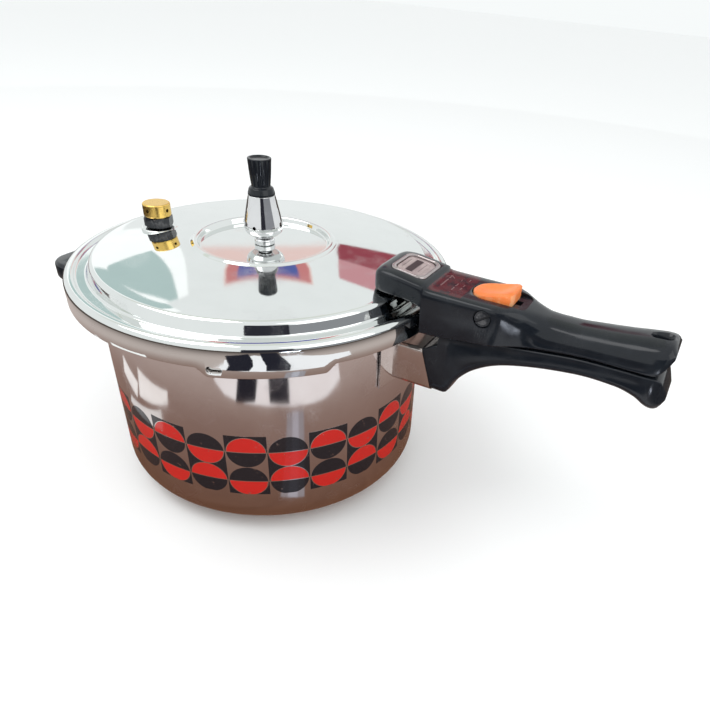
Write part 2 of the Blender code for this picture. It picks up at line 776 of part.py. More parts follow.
CHAMBER_R = 5.1 * MM
SPIGOT_R = CAP_R - CAP_WALL - RUNNING


def make_valve_body(black, parent):
    seat = valve_seat_z() + GAP
    hexagonal = extruded("valve_body", hexagon(VALVE_X, VALVE_Y, HEX_AF), seat, seat + HEX_H)
    spigot = cylinder("valve_spigot", VALVE_X, VALVE_Y, SPIGOT_R, seat + 1 * MM, seat + HEX_H + 5 * MM, 20)
    stem = cylinder("valve_stem", VALVE_X, VALVE_Y, PIPE_THREAD_R, RIM - 0.5 * MM, seat + MM, 18)
    join(hexagonal, spigot, stem)
    bore = cylinder("valve_bore", VALVE_X, VALVE_Y, VALVE_BORE_R, RIM - 5 * MM, seat + 30 * MM, 16)
    chamber = cylinder("valve_chamber", VALVE_X, VALVE_Y, CHAMBER_R, seat + 3.2 * MM, seat + 30 * MM, 18)
    cut(hexagonal, bore, chamber)
    finish(hexagonal, black, parent)


def make_valve_cap(brass, parent):
    seat = valve_seat_z() + GAP
    foot = seat + HEX_H + GAP
    top = foot + CAP_H
    inner = CAP_R - CAP_WALL
    profile = [
        (0, top),
        (CAP_R - 0.9 * MM, top),
        (CAP_R, top - 0.9 * MM),
        (CAP_R, foot),
        (inner, foot),
        (inner, top - CAP_WALL),
        (0, top - CAP_WALL),
    ]
    cap = turned("valve_cap", profile, 24, centre=(VALVE_X, VALVE_Y))
    for i in range(6):
        hole = pin_along_x(f"cap_hole_{i + 1}", 0, 0, 1.1 * MM, inner - MM, CAP_R + MM, 6)
        hole.data.transform(Matrix.Rotation(math.radians(60 * i + 20), 4, "Z"))
        hole.data.transform(Matrix.Translation((VALVE_X, VALVE_Y, seat + HEX_H + 5 * MM + 1.3 * MM)))
        cut(cap, hole)
    finish(cap, brass, parent)


def plunger_z():
    return valve_seat_z() + GAP + 3.2 * MM + GAP


def make_valve_plunger(brass, parent):
    head = plunger_z()
    profile = [
        (0, RIM - 1.5 * MM),
        (VALVE_BORE_R - RUNNING - 0.5 * MM, RIM - 1.5 * MM),
        (VALVE_BORE_R - RUNNING, RIM - 0.8 * MM),
        (VALVE_BORE_R - RUNNING, head),
        (CHAMBER_R - RUNNING, head),
        (CHAMBER_R - RUNNING, head + 1.6 * MM),
        (1.8 * MM, head + 1.6 * MM),
        (1.8 * MM, head + 3.4 * MM),
        (0, head + 3.4 * MM),
    ]
    plunger = turned("valve_plunger", profile, 16, centre=(VALVE_X, VALVE_Y))
    finish(plunger, brass, parent, (VALVE_X, VALVE_Y, head))


def make_valve_spring(steel, parent):
    """Coil spring between the plunger's head and the roof of the cap."""
    low = plunger_z() + 1.6 * MM + GAP + SPRING_WIRE_R
    roof = valve_seat_z() + GAP + HEX_H + GAP + CAP_H - CAP_WALL
    high = roof - GAP - SPRING_WIRE_R
    radius = CHAMBER_R - RUNNING - GAP - SPRING_WIRE_R
    per_turn = 10
    curve = bpy.data.curves.new("valve_spring", "CURVE")
    curve.dimensions = "3D"
    curve.bevel_depth = SPRING_WIRE_R
    curve.bevel_resolution = 0
    curve.use_fill_caps = True
    spline = curve.splines.new("POLY")
    count = SPRING_TURNS * per_turn + 1
    spline.points.add(count - 1)
    for i, point in enumerate(spline.points):
        angle = 2 * math.pi * i / per_turn
        point.co = (radius * math.cos(angle), radius * math.sin(angle), (high - low) * i / (count - 1), 1)
    spring = bpy.data.objects.new("valve_spring", curve)
    bpy.context.scene.collection.objects.link(spring)
    spring.location = (VALVE_X, VALVE_Y, low)
    curve.materials.append(steel)
    spring.parent = parent
    spring.location = spring.location - parent.location


# ---------------------------------------------------------------- lid handle

WEB_X = NOSE_X + 3.5 * MM
WEB_Z = dome(NOSE_X) + GAP
CAVITY_TOP_Z = PANEL_Z - RECESS_DEPTH - 1.8 * MM
RECESS_Z = PANEL_Z - RECESS_DEPTH


def make_handle_bracket(steel, parent):
    """Strip welded on the plateau; two ears at its outer end carry the cross bolt."""
    half = BRACKET_HALF
    web = box("lid_handle_bracket", (WEB_X, -half, RIM + WEB_Z), (143 * MM, half, RIM + WEB_Z + BRACKET_T))
    ear_top = CAVITY_TOP_Z - RUNNING
    for side, sign in (("left", 1), ("right", -1)):
        y0, y1 = sorted((sign * half, sign * (half - BRACKET_T)))
        low = BOLT_Z - 4.5 * MM
        ear = box(f"ear_{side}", (132 * MM, y0, RIM + low), (BOLT_X + 5 * MM, y1, RIM + ear_top))
        join(web, ear)
    cut(web, pin_along_y("bracket_hole", BOLT_X, RIM + BOLT_Z, BOLT_R + RUNNING, -half - MM, half + MM, 12))
    finish(web, steel, parent)


def lid_handle_sections():
    wing_x = PARTING[0][0]
    nose_low = WEB_Z + 0.2 * MM
    top = [
        (NOSE_X, 20.5 * MM),
        (NOSE_X + 2 * MM, 23 * MM),
        (NOSE_X + 5 * MM, NOSE_Z - 0.5 * MM),
        (NOSE_X + 10 * MM, NOSE_Z),
        (117 * MM, NOSE_Z - 0.4 * MM),
        (121 * MM, NOSE_Z - 2.3 * MM),
        (124 * MM, PANEL_Z + 0.4 * MM),
        (150 * MM, PANEL_Z),
        (173 * MM, PANEL_Z),
        (181 * MM, 17.4 * MM),
        (190 * MM, 15.7 * MM),
        (205 * MM, 15.6 * MM),
        (218 * MM, 16.8 * MM),
        (232 * MM, 18.4 * MM),
        (245 * MM, 20.3 * MM),
        (HANDLE_TIP_X - 5 * MM, 21 * MM),
        (HANDLE_TIP_X, 18 * MM),
    ]
    low = [
        (NOSE_X, nose_low + 1.6 * MM),
        (NOSE_X + 3 * MM, nose_low),
        (107 * MM, nose_low),
        (wing_x - 0.5 * MM, 9 * MM),
    ]
    low += PARTING[:-1] + [(HANDLE_TIP_X - 6.5 * MM, PARTING[-1][1]), (HANDLE_TIP_X, 13 * MM)]
    half = [
        (NOSE_X, 13 * MM),
        (NOSE_X + 2 * MM, 16.5 * MM),
        (NOSE_X + 6 * MM, 19 * MM),
        (NOSE_X + 12 * MM, LID_GRIP_HALF),
        (163 * MM, LID_GRIP_HALF),
        (169 * MM, 19 * MM),
        (175 * MM, 16.5 * MM),
        (181 * MM, 14.2 * MM),
        (188 * MM, 13.2 * MM),
        (205 * MM, 13.4 * MM),
        (232 * MM, 14.9 * MM),
        (HANDLE_TIP_X - 5 * MM, 16 * MM),
        (HANDLE_TIP_X, 11 * MM),
    ]
    places = sorted({x for table in (top, low, half) for x, _ in table})
    sections = []
    for x in places:
        z_top = RIM + along(top, x)
        z_low = RIM + along(low, x)
        power = along([(165 * MM, 7.0), (190 * MM, 2.5)], x)
        straight = along([(165 * MM, 0.55), (190 * MM, 0.15)], x)
        flat_z = z_low + (z_top - z_low) * straight
        sections.append(section(x, along(half, x), z_low, z_top, flat_z, power, True))
    return sections


def make_lid_handle(black, parent):
    handle = lofted("lid_handle", lid_handle_sections())
    web_half = BRACKET_HALF + RUNNING
    web_top = RIM + WEB_Z + BRACKET_T + RUNNING
    nose_slot = box("nose_slot", (WEB_X - RUNNING, -web_half, RIM), (126 * MM, web_half, web_top))
    cavity_half = BRACKET_HALF + RUNNING + 0.6 * MM
    wing_wall = 125 * MM
    cavity = box(
        "cavity",
        (wing_wall, -cavity_half, RIM - 20 * MM),
        (COVER_X1 + GAP, cavity_half, RIM + CAVITY_TOP_Z),
    )
    recess = extruded("button_recess", teardrop(1.3 * MM, LATCH_TRAVEL), RIM + RECESS_Z, RIM + 40 * MM)
    neck_slot = box(
        "neck_slot",
        (NECK_X - RUNNING, -NECK_HALF - RUNNING, RIM + CAVITY_TOP_Z - MM),
        (NECK_X + NECK_L + LATCH_TRAVEL + RUNNING, NECK_HALF + RUNNING, RIM + PANEL_Z),
    )
    bolt_hole = pin_along_y("bolt_hole", BOLT_X, RIM + BOLT_Z, BOLT_R + RUNNING, -30 * MM, 30 * MM, 12)
    head_pocket = pin_along_y("head_pocket", BOLT_X, RIM + BOLT_Z, BOLT_HEAD_R + RUNNING, -30 * MM, -HEAD_FLOOR, 16)
    nut_pocket = pin_along_y("nut_pocket", BOLT_X, RIM + BOLT_Z, BOLT_HEAD_R + RUNNING, HEAD_FLOOR, 30 * MM, 16)
    badge_pocket = extruded("badge_pocket", badge_outline(GAP), BADGE_Z - GAP, RIM + 40 * MM)
    hang_hole = extruded("hang_hole", hang_outline(), RIM - 10 * MM, RIM + 40 * MM)
    cut(handle, nose_slot, cavity, recess, neck_slot, bolt_hole, head_pocket, nut_pocket, badge_pocket, hang_hole)
    finish(handle, black, parent)


HEAD_FLOOR = 17 * MM
NECK_X = 162 * MM
NECK_L = 4 * MM
NECK_HALF = 2.4 * MM
COVER_X0 = TONGUE_X + TONGUE_T + LATCH_TRAVEL + 2 * MM
COVER_X1 = 180 * MM
COVER_T = 2 * MM
BADGE_X0 = 97 * MM
BADGE_X1 = 119 * MM
BADGE_HALF = 13.5 * MM
BADGE_Z = RIM + NOSE_Z - 1.6 * MM
HANG_X = 248 * MM
HANG_R = 2.8 * MM


def hang_outline():
    """Slot near the tip that the cooker's lid hangs from."""
    return arc(HANG_X + 2 * MM, 0, HANG_R, -90, 90, 6) + arc(HANG_X - 2 * MM, 0, HANG_R, 90, 270, 6)


def rounded_rectangle(x0, x1, half, corner, steps=3):
    outline = arc(x1 - corner, half - corner, corner, 0, 90, steps)
    outline += arc(x0 + corner, half - corner, corner, 90, 180, steps)
    outline += arc(x0 + corner, -half + corner, corner, 180, 270, steps)
    outline += arc(x1 - corner, -half + corner, corner, 270, 360, steps)
    return outline


def badge_outline(grow):
    return rounded_rectangle(BADGE_X0 - grow, BADGE_X1 + grow, BADGE_HALF + grow, 4 * MM + grow)


def teardrop(grow, behind=0.0):
    """Plan of the button, narrow at the front; behind lengthens it for the recess that it slides in."""
    front_r = 8 * MM + grow
    back_r = 4 * MM + grow
    half = BUTTON_HALF + grow
    x0 = BUTTON_X0 - grow
    x1 = BUTTON_X1 + grow + behind
    outline = arc(x1 - back_r, -half + back_r, back_r, -90, 0, 3)
    outline += arc(x1 - back_r, half - back_r, back_r, 0, 90, 3)
    if behind:
        outline += [(BUTTON_X1 - back_r, half)]
    outline += arc(x0 + front_r, 0, front_r, 100, 260, 4)
    if behind:
        outline += [(BUTTON_X1 - back_r, -half)]
    return outline


def make_lock_button(orange, parent):
    """Thumb slide, low at the front and high at the back, with a neck down to the latch bar."""
    foot = RIM + RECESS_Z + GAP
    button = extruded("lock_button", teardrop(0), foot, RIM + BUTTON_Z)
    slope = [
        (BUTTON_X0 - 5 * MM, RIM + PANEL_Z + 0.6 * MM),
        (BUTTON_X0, RIM + PANEL_Z + 1.4 * MM),
        (BUTTON_X0 + 8 * MM, RIM + PANEL_Z + 3.6 * MM),
        (BUTTON_X0 + 16 * MM, RIM + BUTTON_Z - 3.2 * MM),
        (BUTTON_X1, RIM + BUTTON_Z),
        (BUTTON_X1, RIM + BUTTON_Z + 10 * MM),
        (BUTTON_X0 - 5 * MM, RIM + BUTTON_Z + 10 * MM),
    ]
    cut(button, extruded("button_slope", slope, -30 * MM, 30 * MM, "XZ"))
    neck_low = RIM + BAR_Z + BAR_T + GAP
    neck = box("button_neck", (NECK_X, -NECK_HALF, neck_low), (NECK_X + NECK_L, NECK_HALF, foot + MM))
    join(button, neck)
    hole = cylinder("neck_hole", NECK_X + NECK_L / 2, 0, 1.1 * MM + 0.2 * MM, neck_low - MM, neck_low + 5 * MM, 8)
    cut(button, hole)
    finish(button, orange, parent, (BUTTON_X0, 0, foot))


def make_latch_bar(steel, parent):
    bar = box(
        "latch_bar",
        (TONGUE_X, -5 * MM, RIM + BAR_Z),
        (NECK_X + NECK_L + 2 * MM, 5 * MM, RIM + BAR_Z + BAR_T),
    )
    tongue = box(
        "tongue",
        (TONGUE_X, -TONGUE_HALF, RIM + TONGUE_Z),
        (TONGUE_X + TONGUE_T, TONGUE_HALF, RIM + BAR_Z + BAR_T / 2),
    )
    join(bar, tongue)
    hole = cylinder("bar_hole", NECK_X + NECK_L / 2, 0, 1.1 * MM + 0.3 * MM, RIM, RIM + 10 * MM, 8)
    cut(bar, hole)
    finish(bar, steel, parent, (TONGUE_X, 0, RIM + BAR_Z))


def make_latch_screw(steel, parent):
    top = RIM + BAR_Z + BAR_T + 4 * MM
    face = RIM + BAR_Z - GAP
    profile = [
        (0, face - 1.2 * MM),
        (2.2 * MM, face - 1.2 * MM),
        (2.2 * MM, face),
        (1.1 * MM, face),
        (1.1 * MM, top),
        (0, top),
    ]
    screw = turned("latch_screw", profile, 10, centre=(NECK_X + NECK_L / 2, 0))
    finish(screw, steel, parent, (NECK_X + NECK_L / 2, 0, face))


def make_handle_cover(black, parent):
    """Plate that closes the underside of the lid handle's hollow, flush with its underside."""
    half = BRACKET_HALF + 0.6 * MM
    outline = [(x, RIM + along(PARTING, x) + 0.2 * MM) for x in (COVER_X0, 152 * MM, COVER_X1)]
    outline += [(x, z + COVER_T) for x, z in reversed(outline)]
    finish(extruded("lid_handle_cover", outline, -half, half, "XZ"), black, parent)


def make_cross_bolt(steel, parent):
    """Slotted bolt through the lid handle and both ears of its bracket, and its nut."""
    z = RIM + BOLT_Z
    head_y = -LID_GRIP_HALF + 0.4 * MM
    bolt = pin_along_y("handle_bolt", BOLT_X, z, BOLT_R, -HEAD_FLOOR - 1.5 * MM, HEAD_FLOOR + 1.2 * MM, 12)
    head = pin_along_y("bolt_head", BOLT_X, z, BOLT_HEAD_R, head_y, -HEAD_FLOOR - GAP, 16)
    join(bolt, head)
    slot = box("bolt_slot", (-0.6 * MM, head_y - MM, -6 * MM), (0.6 * MM, head_y + 0.9 * MM, 6 * MM))
    slot.data.transform(Matrix.Rotation(math.radians(-35), 4, "Y"))
    slot.data.transform(Matrix.Translation((BOLT_X, 0, z)))
    cut(bolt, slot)
    finish(bolt, steel, parent)
    nut = pin_along_y("handle_nut", BOLT_X, z, BOLT_HEAD_R, HEAD_FLOOR + GAP, LID_GRIP_HALF - 0.4 * MM, 16)
    cut(nut, pin_along_y("nut_bore", BOLT_X, z, BOLT_R + GAP, 0, HEAD_FLOOR + 1.7 * MM, 12))
    finish(nut, steel, parent)


def make_badge(plate, frame, parent):
    """Blank plate on the nose, in a raised frame."""
    inner = rounded_rectangle(BADGE_X0 + 2.2 * MM, BADGE_X1 - 2.2 * MM, BADGE_HALF - 2.2 * MM, 2.5 * MM)
    outer = extruded("badge_frame", badge_outline(0), BADGE_Z, BADGE_Z + 2.4 * MM)
    cut(outer, extruded("badge_window", inner, BADGE_Z - MM, BADGE_Z + 5 * MM))
    finish(outer, frame, parent)
    inside = rounded_rectangle(BADGE_X0 + 2.5 * MM, BADGE_X1 - 2.5 * MM, BADGE_HALF - 2.5 * MM, 2.2 * MM)
    finish(extruded("badge_plate", inside, BADGE_Z, BADGE_Z + 1.6 * MM), plate, parent)


def build():
    clear_scene()
    steel = make_material("polished_steel", (0.78, 0.78, 0.77), 0.08, 1.0)
    chrome = make_material("chrome", (0.85, 0.85, 0.86), 0.05, 1.0)
    black = make_material("black_bakelite", (0.012, 0.012, 0.015), 0.2, 0.0)
    orange = make_material("orange_plastic", (0.95, 0.25, 0.05), 0.3, 0.0)
    brass = make_material("brass", (0.83, 0.6, 0.22), 0.2, 1.0)
    silicone = make_material("grey_silicone", (0.33, 0.35, 0.36), 0.6, 0.0)
    plate = make_material("badge_plate", (0.6, 0.53, 0.5), 0.35, 0.6)

    lid_lift = axis_empty("axis_lid_lift", (0, 0, RIM))
    lid_turn = axis_empty("axis_lid_turn", (0, 0, RIM))
    lift_weight = axis_empty("axis_weight_lift", (0, 0, RIM + WEIGHT_Z))
    valve = axis_empty("axis_valve", (VALVE_X, VALVE_Y, plunger_z()))
    latch = axis_empty("axis_latch", (BUTTON_X0, 0, RIM + RECESS_Z))

    make_base_disc(steel)
    make_pot_body(steel)
    make_guard(steel)
    make_pot_handle(black)
    make_pot_handle_screw(steel)
    make_catch_plate(steel)
    make_helper_plate(steel)
    make_helper_handle(black)
    make_helper_screws(steel)

    make_sealing_ring(silicone, lid_lift)
    make_lid(steel, lid_turn)
    make_vent_pipe(steel, lid_turn)
    nut_top = RIM + DISH_Z - SHEET - GAP
    make_hex_nut("vent_nut", 0, 0, 15 * MM, PIPE_THREAD_R + GAP, nut_top - 4 * MM, nut_top, steel, lid_turn)
    make_valve_body(black, lid_turn)
    make_valve_cap(brass, lid_turn)
    valve_nut_top = RIM + dome(valve_radius() + 9 * MM) - SHEET - GAP
    make_hex_nut(
        "valve_nut",
        VALVE_X,
        VALVE_Y,
        15 * MM,
        PIPE_THREAD_R + GAP,
        valve_nut_top - 4 * MM,
        valve_nut_top,
        steel,
        lid_turn,
    )
    make_valve_spring(steel, lid_turn)
    make_valve_plunger(brass, valve)
    make_handle_bracket(steel, lid_turn)
    make_lid_handle(black, lid_turn)
    make_handle_cover(black, lid_turn)
    make_cross_bolt(steel, lid_turn)
    make_badge(plate, chrome, lid_turn)
    make_lock_button(orange, latch)
    make_latch_bar(steel, latch)
    make_latch_screw(steel, latch)

    make_weight_body(chrome, lift_weight)
    make_weight_knob(black, lift_weight)
    make_weight_stud(steel, lift_weight)


build()
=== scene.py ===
"""Looks of a stovetop pressure cooker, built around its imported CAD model.

Sizes are in metres in the frame of the CAD model: the origin is the centre of the flat base and +X runs
out along the long handles. Heights near the rim are counted from the rim line, where the lid's rounded
edge meets its straight skirt.
"""

import json
import logging
import math
from collections.abc import Callable, Sequence
from dataclasses import dataclass
from enum import Enum
from functools import cache, cached_property

import bmesh
import bpy
from mathutils import Matrix, Vector


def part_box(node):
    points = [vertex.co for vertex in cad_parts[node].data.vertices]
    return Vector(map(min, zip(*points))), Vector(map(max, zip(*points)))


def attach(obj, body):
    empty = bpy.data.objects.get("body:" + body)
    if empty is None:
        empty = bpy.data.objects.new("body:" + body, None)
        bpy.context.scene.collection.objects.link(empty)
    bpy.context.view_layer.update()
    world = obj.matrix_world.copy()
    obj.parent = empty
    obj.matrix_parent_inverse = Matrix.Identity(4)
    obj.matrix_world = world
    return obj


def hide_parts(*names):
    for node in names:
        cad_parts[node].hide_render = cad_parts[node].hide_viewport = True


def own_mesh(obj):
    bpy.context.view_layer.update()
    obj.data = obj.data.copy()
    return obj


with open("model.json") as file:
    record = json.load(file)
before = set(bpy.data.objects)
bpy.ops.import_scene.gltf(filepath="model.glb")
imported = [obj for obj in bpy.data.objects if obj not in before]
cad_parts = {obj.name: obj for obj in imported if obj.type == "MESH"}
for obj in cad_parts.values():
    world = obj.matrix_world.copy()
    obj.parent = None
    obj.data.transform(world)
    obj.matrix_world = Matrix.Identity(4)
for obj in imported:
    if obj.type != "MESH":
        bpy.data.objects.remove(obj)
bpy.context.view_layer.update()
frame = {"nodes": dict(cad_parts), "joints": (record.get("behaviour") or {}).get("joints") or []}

MM = 0.001
SHARP = math.radians(32)
LOG = logging.getLogger("cooker")

Flat = tuple[float, float]
Point = tuple[float, float, float]
Colour = tuple[float, float, float]


class Body(Enum):
    """Rigid bodies of the CAD model."""

    POT = "pot"
    SEAL = "seal"
    LID = "lid"
    PLUNGER = "plunger"
    LATCH = "latch"
    WEIGHT = "weight"


class Slot(Enum):
    """Material slots of the CAD record."""

    POT_STEEL = "pot_steel"
    LID_STEEL = "lid_steel"
    SMALL_STEEL = "small_steel"
    CHROME = "chrome"
    BAKELITE = "black_bakelite"
    ORANGE = "orange_plastic"
    BRASS = "brass"
    SILICONE = "silicone"
    BADGE = "badge"


class Plane(Enum):
    """Plane that an outline is drawn in; the solid runs along the third axis."""

    XY = "xy"
    XZ = "xz"
    YZ = "yz"


class Merge(Enum):
    """What a Boolean does with its second solid."""

    CUT = "DIFFERENCE"
    JOIN = "UNION"


# ------------------------------------------------------------------ mesh tools


def new_object(name: str, bm: bmesh.types.BMesh) -> bpy.types.Object:
    """Turns a bmesh into a linked object with merged points and outward faces.

    Args:
        name: Name of the object and of its mesh.
        bm: The shape; it is freed.

    Returns:
        The new object, at the origin.
    """
    bmesh.ops.remove_doubles(bm, verts=bm.verts[:], dist=2e-6)
    bmesh.ops.recalc_face_normals(bm, faces=bm.faces[:])
    mesh = bpy.data.meshes.new(name)
    bm.to_mesh(mesh)
    bm.free()
    obj = bpy.data.objects.new(name, mesh)
    bpy.context.scene.collection.objects.link(obj)
    return obj


def lofted(name: str, rings: Sequence[Sequence[Point]], around: bool = False) -> bpy.types.Object:
    """Skins closed rings that all have the same number of points.

    Args:
        name: Name of the object.
        rings: The rings, in order.
        around: True if the last ring joins the first; otherwise both ends get a flat cap.

    Returns:
        The closed solid.
    """
    bm = bmesh.new()
    rows = [[bm.verts.new(point) for point in ring] for ring in rings]
    pairs = list(zip(rows, rows[1:]))
    if around:
        pairs.append((rows[-1], rows[0]))
    else:
        bm.faces.new(rows[0][::-1])
        bm.faces.new(rows[-1])
    for a, b in pairs:
        for j in range(len(a)):
            k = (j + 1) % len(a)
            bm.faces.new((a[j], a[k], b[k], b[j]))
    return new_object(name, bm)


def turned(
    name: str,
    profile: Sequence[Flat] | Callable[[float], Sequence[Flat]],
    steps: int = 96,
    centre: Flat = (0.0, 0.0),
    turns: Sequence[float] = (),
) -> bpy.types.Object:
    """Turns a closed (radius, height) profile about a vertical axis.

    Args:
        name: Name of the object.
        profile: The profile, or a function that gives it for an angle in degrees.
        steps: Number of even steps round the axis.
        centre: Where the axis stands.
        turns: Angles in degrees to use instead of even steps.

    Returns:
        The closed solid.
    """
    rings = []
    for angle in turns or [360 * i / steps for i in range(steps)]:
        c = math.cos(math.radians(angle))
        s = math.sin(math.radians(angle))
        flat = profile(angle) if callable(profile) else profile
        rings.append([(centre[0] + r * c, centre[1] + r * s, z) for r, z in flat])
    return lofted(name, rings, around=True)


def extruded(
    name: str, outline: Sequence[Flat], low: float, high: float, plane: Plane = Plane.XY
) -> bpy.types.Object:
    """Makes an outline solid between two places along the axis across its plane.

    Args:
        name: Name of the object.
        outline: Closed outline in its plane.
        low: Where the solid starts.
        high: Where the solid ends.
        plane: Plane of the outline.

    Returns:
        The solid.
    """
    place = {
        Plane.XY: lambda u, v, w: (u, v, w),
        Plane.XZ: lambda u, v, w: (u, w, v),
        Plane.YZ: lambda u, v, w: (w, u, v),
    }[plane]
    return lofted(name, [[place(u, v, w) for u, v in outline] for w in (low, high)])


def block(name: str, low: Point, high: Point) -> bpy.types.Object:
    """A plain box, used as a cutter."""
    outline = [(low[0], low[1]), (high[0], low[1]), (high[0], high[1]), (low[0], high[1])]
    return extruded(name, outline, low[2], high[2])


def arc(cu: float, cv: float, radius: float, first: float, last: float, steps: int) -> list[Flat]:
    """Points of an arc about (cu, cv), with its angles in degrees."""
    turns = [math.radians(first + (last - first) * i / steps) for i in range(steps + 1)]
    return [(cu + radius * math.cos(a), cv + radius * math.sin(a)) for a in turns]


def circle(cu: float, cv: float, radius: float, steps: int = 32) -> list[Flat]:
    """Points of a full circle, each once."""
    return arc(cu, cv, radius, 0, 360 - 360 / steps, steps - 1)


def rounded(corners: Sequence[tuple[float, ...]], steps: int = 5) -> list[Flat]:
    """Rounds the corners of a closed outline.

    Args:
        corners: (u, v) for a sharp corner, or (u, v, radius).
        steps: Steps in each rounding.

    Returns:
        The outline, with a guard point beside each rounding so that the flats next to it shade flat.
    """
    out: list[Flat] = []
    for i, corner in enumerate(corners):
        here = Vector(corner[:2])
        radius = corner[2] if len(corner) > 2 else 0.0
        if radius <= 0:
            out.append((here.x, here.y))
            continue
        back = Vector(corners[i - 1][:2]) - here
        ahead = Vector(corners[(i + 1) % len(corners)][:2]) - here
        half = back.angle(ahead) / 2
        reach = min(radius / math.tan(half), 0.46 * back.length, 0.46 * ahead.length)
        guard = min(0.3 * MM, 0.04 * back.length, 0.04 * ahead.length)
        first = here + back.normalized() * reach
        last = here + ahead.normalized() * reach
        middle = here + (back.normalized() + ahead.normalized()).normalized() * (reach / math.cos(half))
        sweep = math.pi - 2 * half
        out.append(tuple(here + back.normalized() * (reach + guard)))
        for s in range(steps + 1):
            t = s / steps
            a = math.sin((1 - t) * sweep) / math.sin(sweep)
            b = math.sin(t * sweep) / math.sin(sweep)
            out.append(tuple(middle + (first - middle) * a + (last - middle) * b))
        out.append(tuple(here + ahead.normalized() * (reach + guard)))
    return out


@dataclass(frozen=True)
class Track:
    """Smooth reading of (place, value) pairs in millimetres that never overshoots them."""

    pairs: tuple[Flat, ...]

    def slopes(self) -> list[float]:
        """Slope at each pair, flat at a high or low point.

        Returns:
            One slope for each pair.
        """
        p = self.pairs
        rises = [(b[1] - a[1]) / (b[0] - a[0]) for a, b in zip(p, p[1:])]
        inner = [0.0 if a * b <= 0 else 2 * a * b / (a + b) for a, b in zip(rises, rises[1:])]
        return [rises[0], *inner, rises[-1]]

    def __call__(self, x: float) -> float:
        """Value at a place, both in metres.

        Args:
            x: The place.

        Returns:
            The value there.
        """
        u = x / MM
        p = self.pairs
        if u <= p[0][0]:
            return p[0][1] * MM
        slopes = self.slopes()
        for i, (a, b) in enumerate(zip(p, p[1:])):
            if u <= b[0]:
                w = b[0] - a[0]
                t = (u - a[0]) / w
                h00 = (1 + 2 * t) * (1 - t) ** 2
                h10 = t * (1 - t) ** 2
                h01 = t * t * (3 - 2 * t)
                h11 = t * t * (t - 1)
                return (h00 * a[1] + h10 * w * slopes[i] + h01 * b[1] + h11 * w * slopes[i + 1]) * MM
        return p[-1][1] * MM


def settled(obj: bpy.types.Object) -> bpy.types.Object:
    """Replaces an object's mesh by what its modifiers make of it.

    Args:
        obj: The object.

    Returns:
        The same object, with no modifiers left.
    """
    graph = bpy.context.evaluated_depsgraph_get()
    mesh = bpy.data.meshes.new_from_object(obj.evaluated_get(graph))
    obj.modifiers.clear()
    obj.data = mesh
    return obj


def merge(obj: bpy.types.Object, others: Sequence[bpy.types.Object], how: Merge) -> bpy.types.Object:
    """Cuts solids from an object or joins them to it, and removes them.

    Args:
        obj: The object that is kept.
        others: Solids to cut away or join on.
        how: Whether to cut or to join.

    Returns:
        The object that is kept.
    """
    for other in others:
        modifier = obj.modifiers.new(other.name, "BOOLEAN")
        modifier.operation = how.value
        modifier.solver = "EXACT"
        modifier.object = other
    settled(obj)
    for other in others:
        bpy.data.objects.remove(other)
    return obj


def softened(obj: bpy.types.Object, width: float, segments: int = 3, angle: float = 40) -> bpy.types.Object:
    """Rounds the edges of an object that are sharper than an angle in degrees.

    Args:
        obj: The object.
        width: Width of the rounding.
        segments: Faces across the rounding.
        angle: Sharpest angle that is left alone, in degrees.

    Returns:
        The same object.
    """
    modifier = obj.modifiers.new("soften", "BEVEL")
    modifier.width = width
    modifier.segments = segments
    modifier.limit_method = "ANGLE"
    modifier.angle_limit = math.radians(angle)
    modifier.harden_normals = False
    return settled(obj)


def moved(obj: bpy.types.Object, *steps: Matrix) -> bpy.types.Object:
    """Moves the points of an object by each matrix in turn.

    Args:
        obj: The object.
        steps: Matrices, first one first.

    Returns:
        The same object.
    """
    for step in steps:
        obj.data.transform(step)
    return obj


def turn(degrees: float, axis: str) -> Matrix:
    """A turn about a main axis through the origin."""
    return Matrix.Rotation(math.radians(degrees), 4, axis)


def shift(x: float, y: float, z: float) -> Matrix:
    """A move without a turn."""
    return Matrix.Translation((x, y, z))


def middle_of(*nodes: str) -> Vector:
    """Middle of the box round one or more CAD nodes.

    Args:
        nodes: Names of the nodes.

    Returns:
        The middle, in metres.
    """
    boxes = [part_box(node) for node in nodes]
    low = Vector(min(b[0][i] for b in boxes) for i in range(3))
    high = Vector(max(b[1][i] for b in boxes) for i in range(3))
    return (low + high) / 2


# ------------------------------------------------------------------ repeated shapes


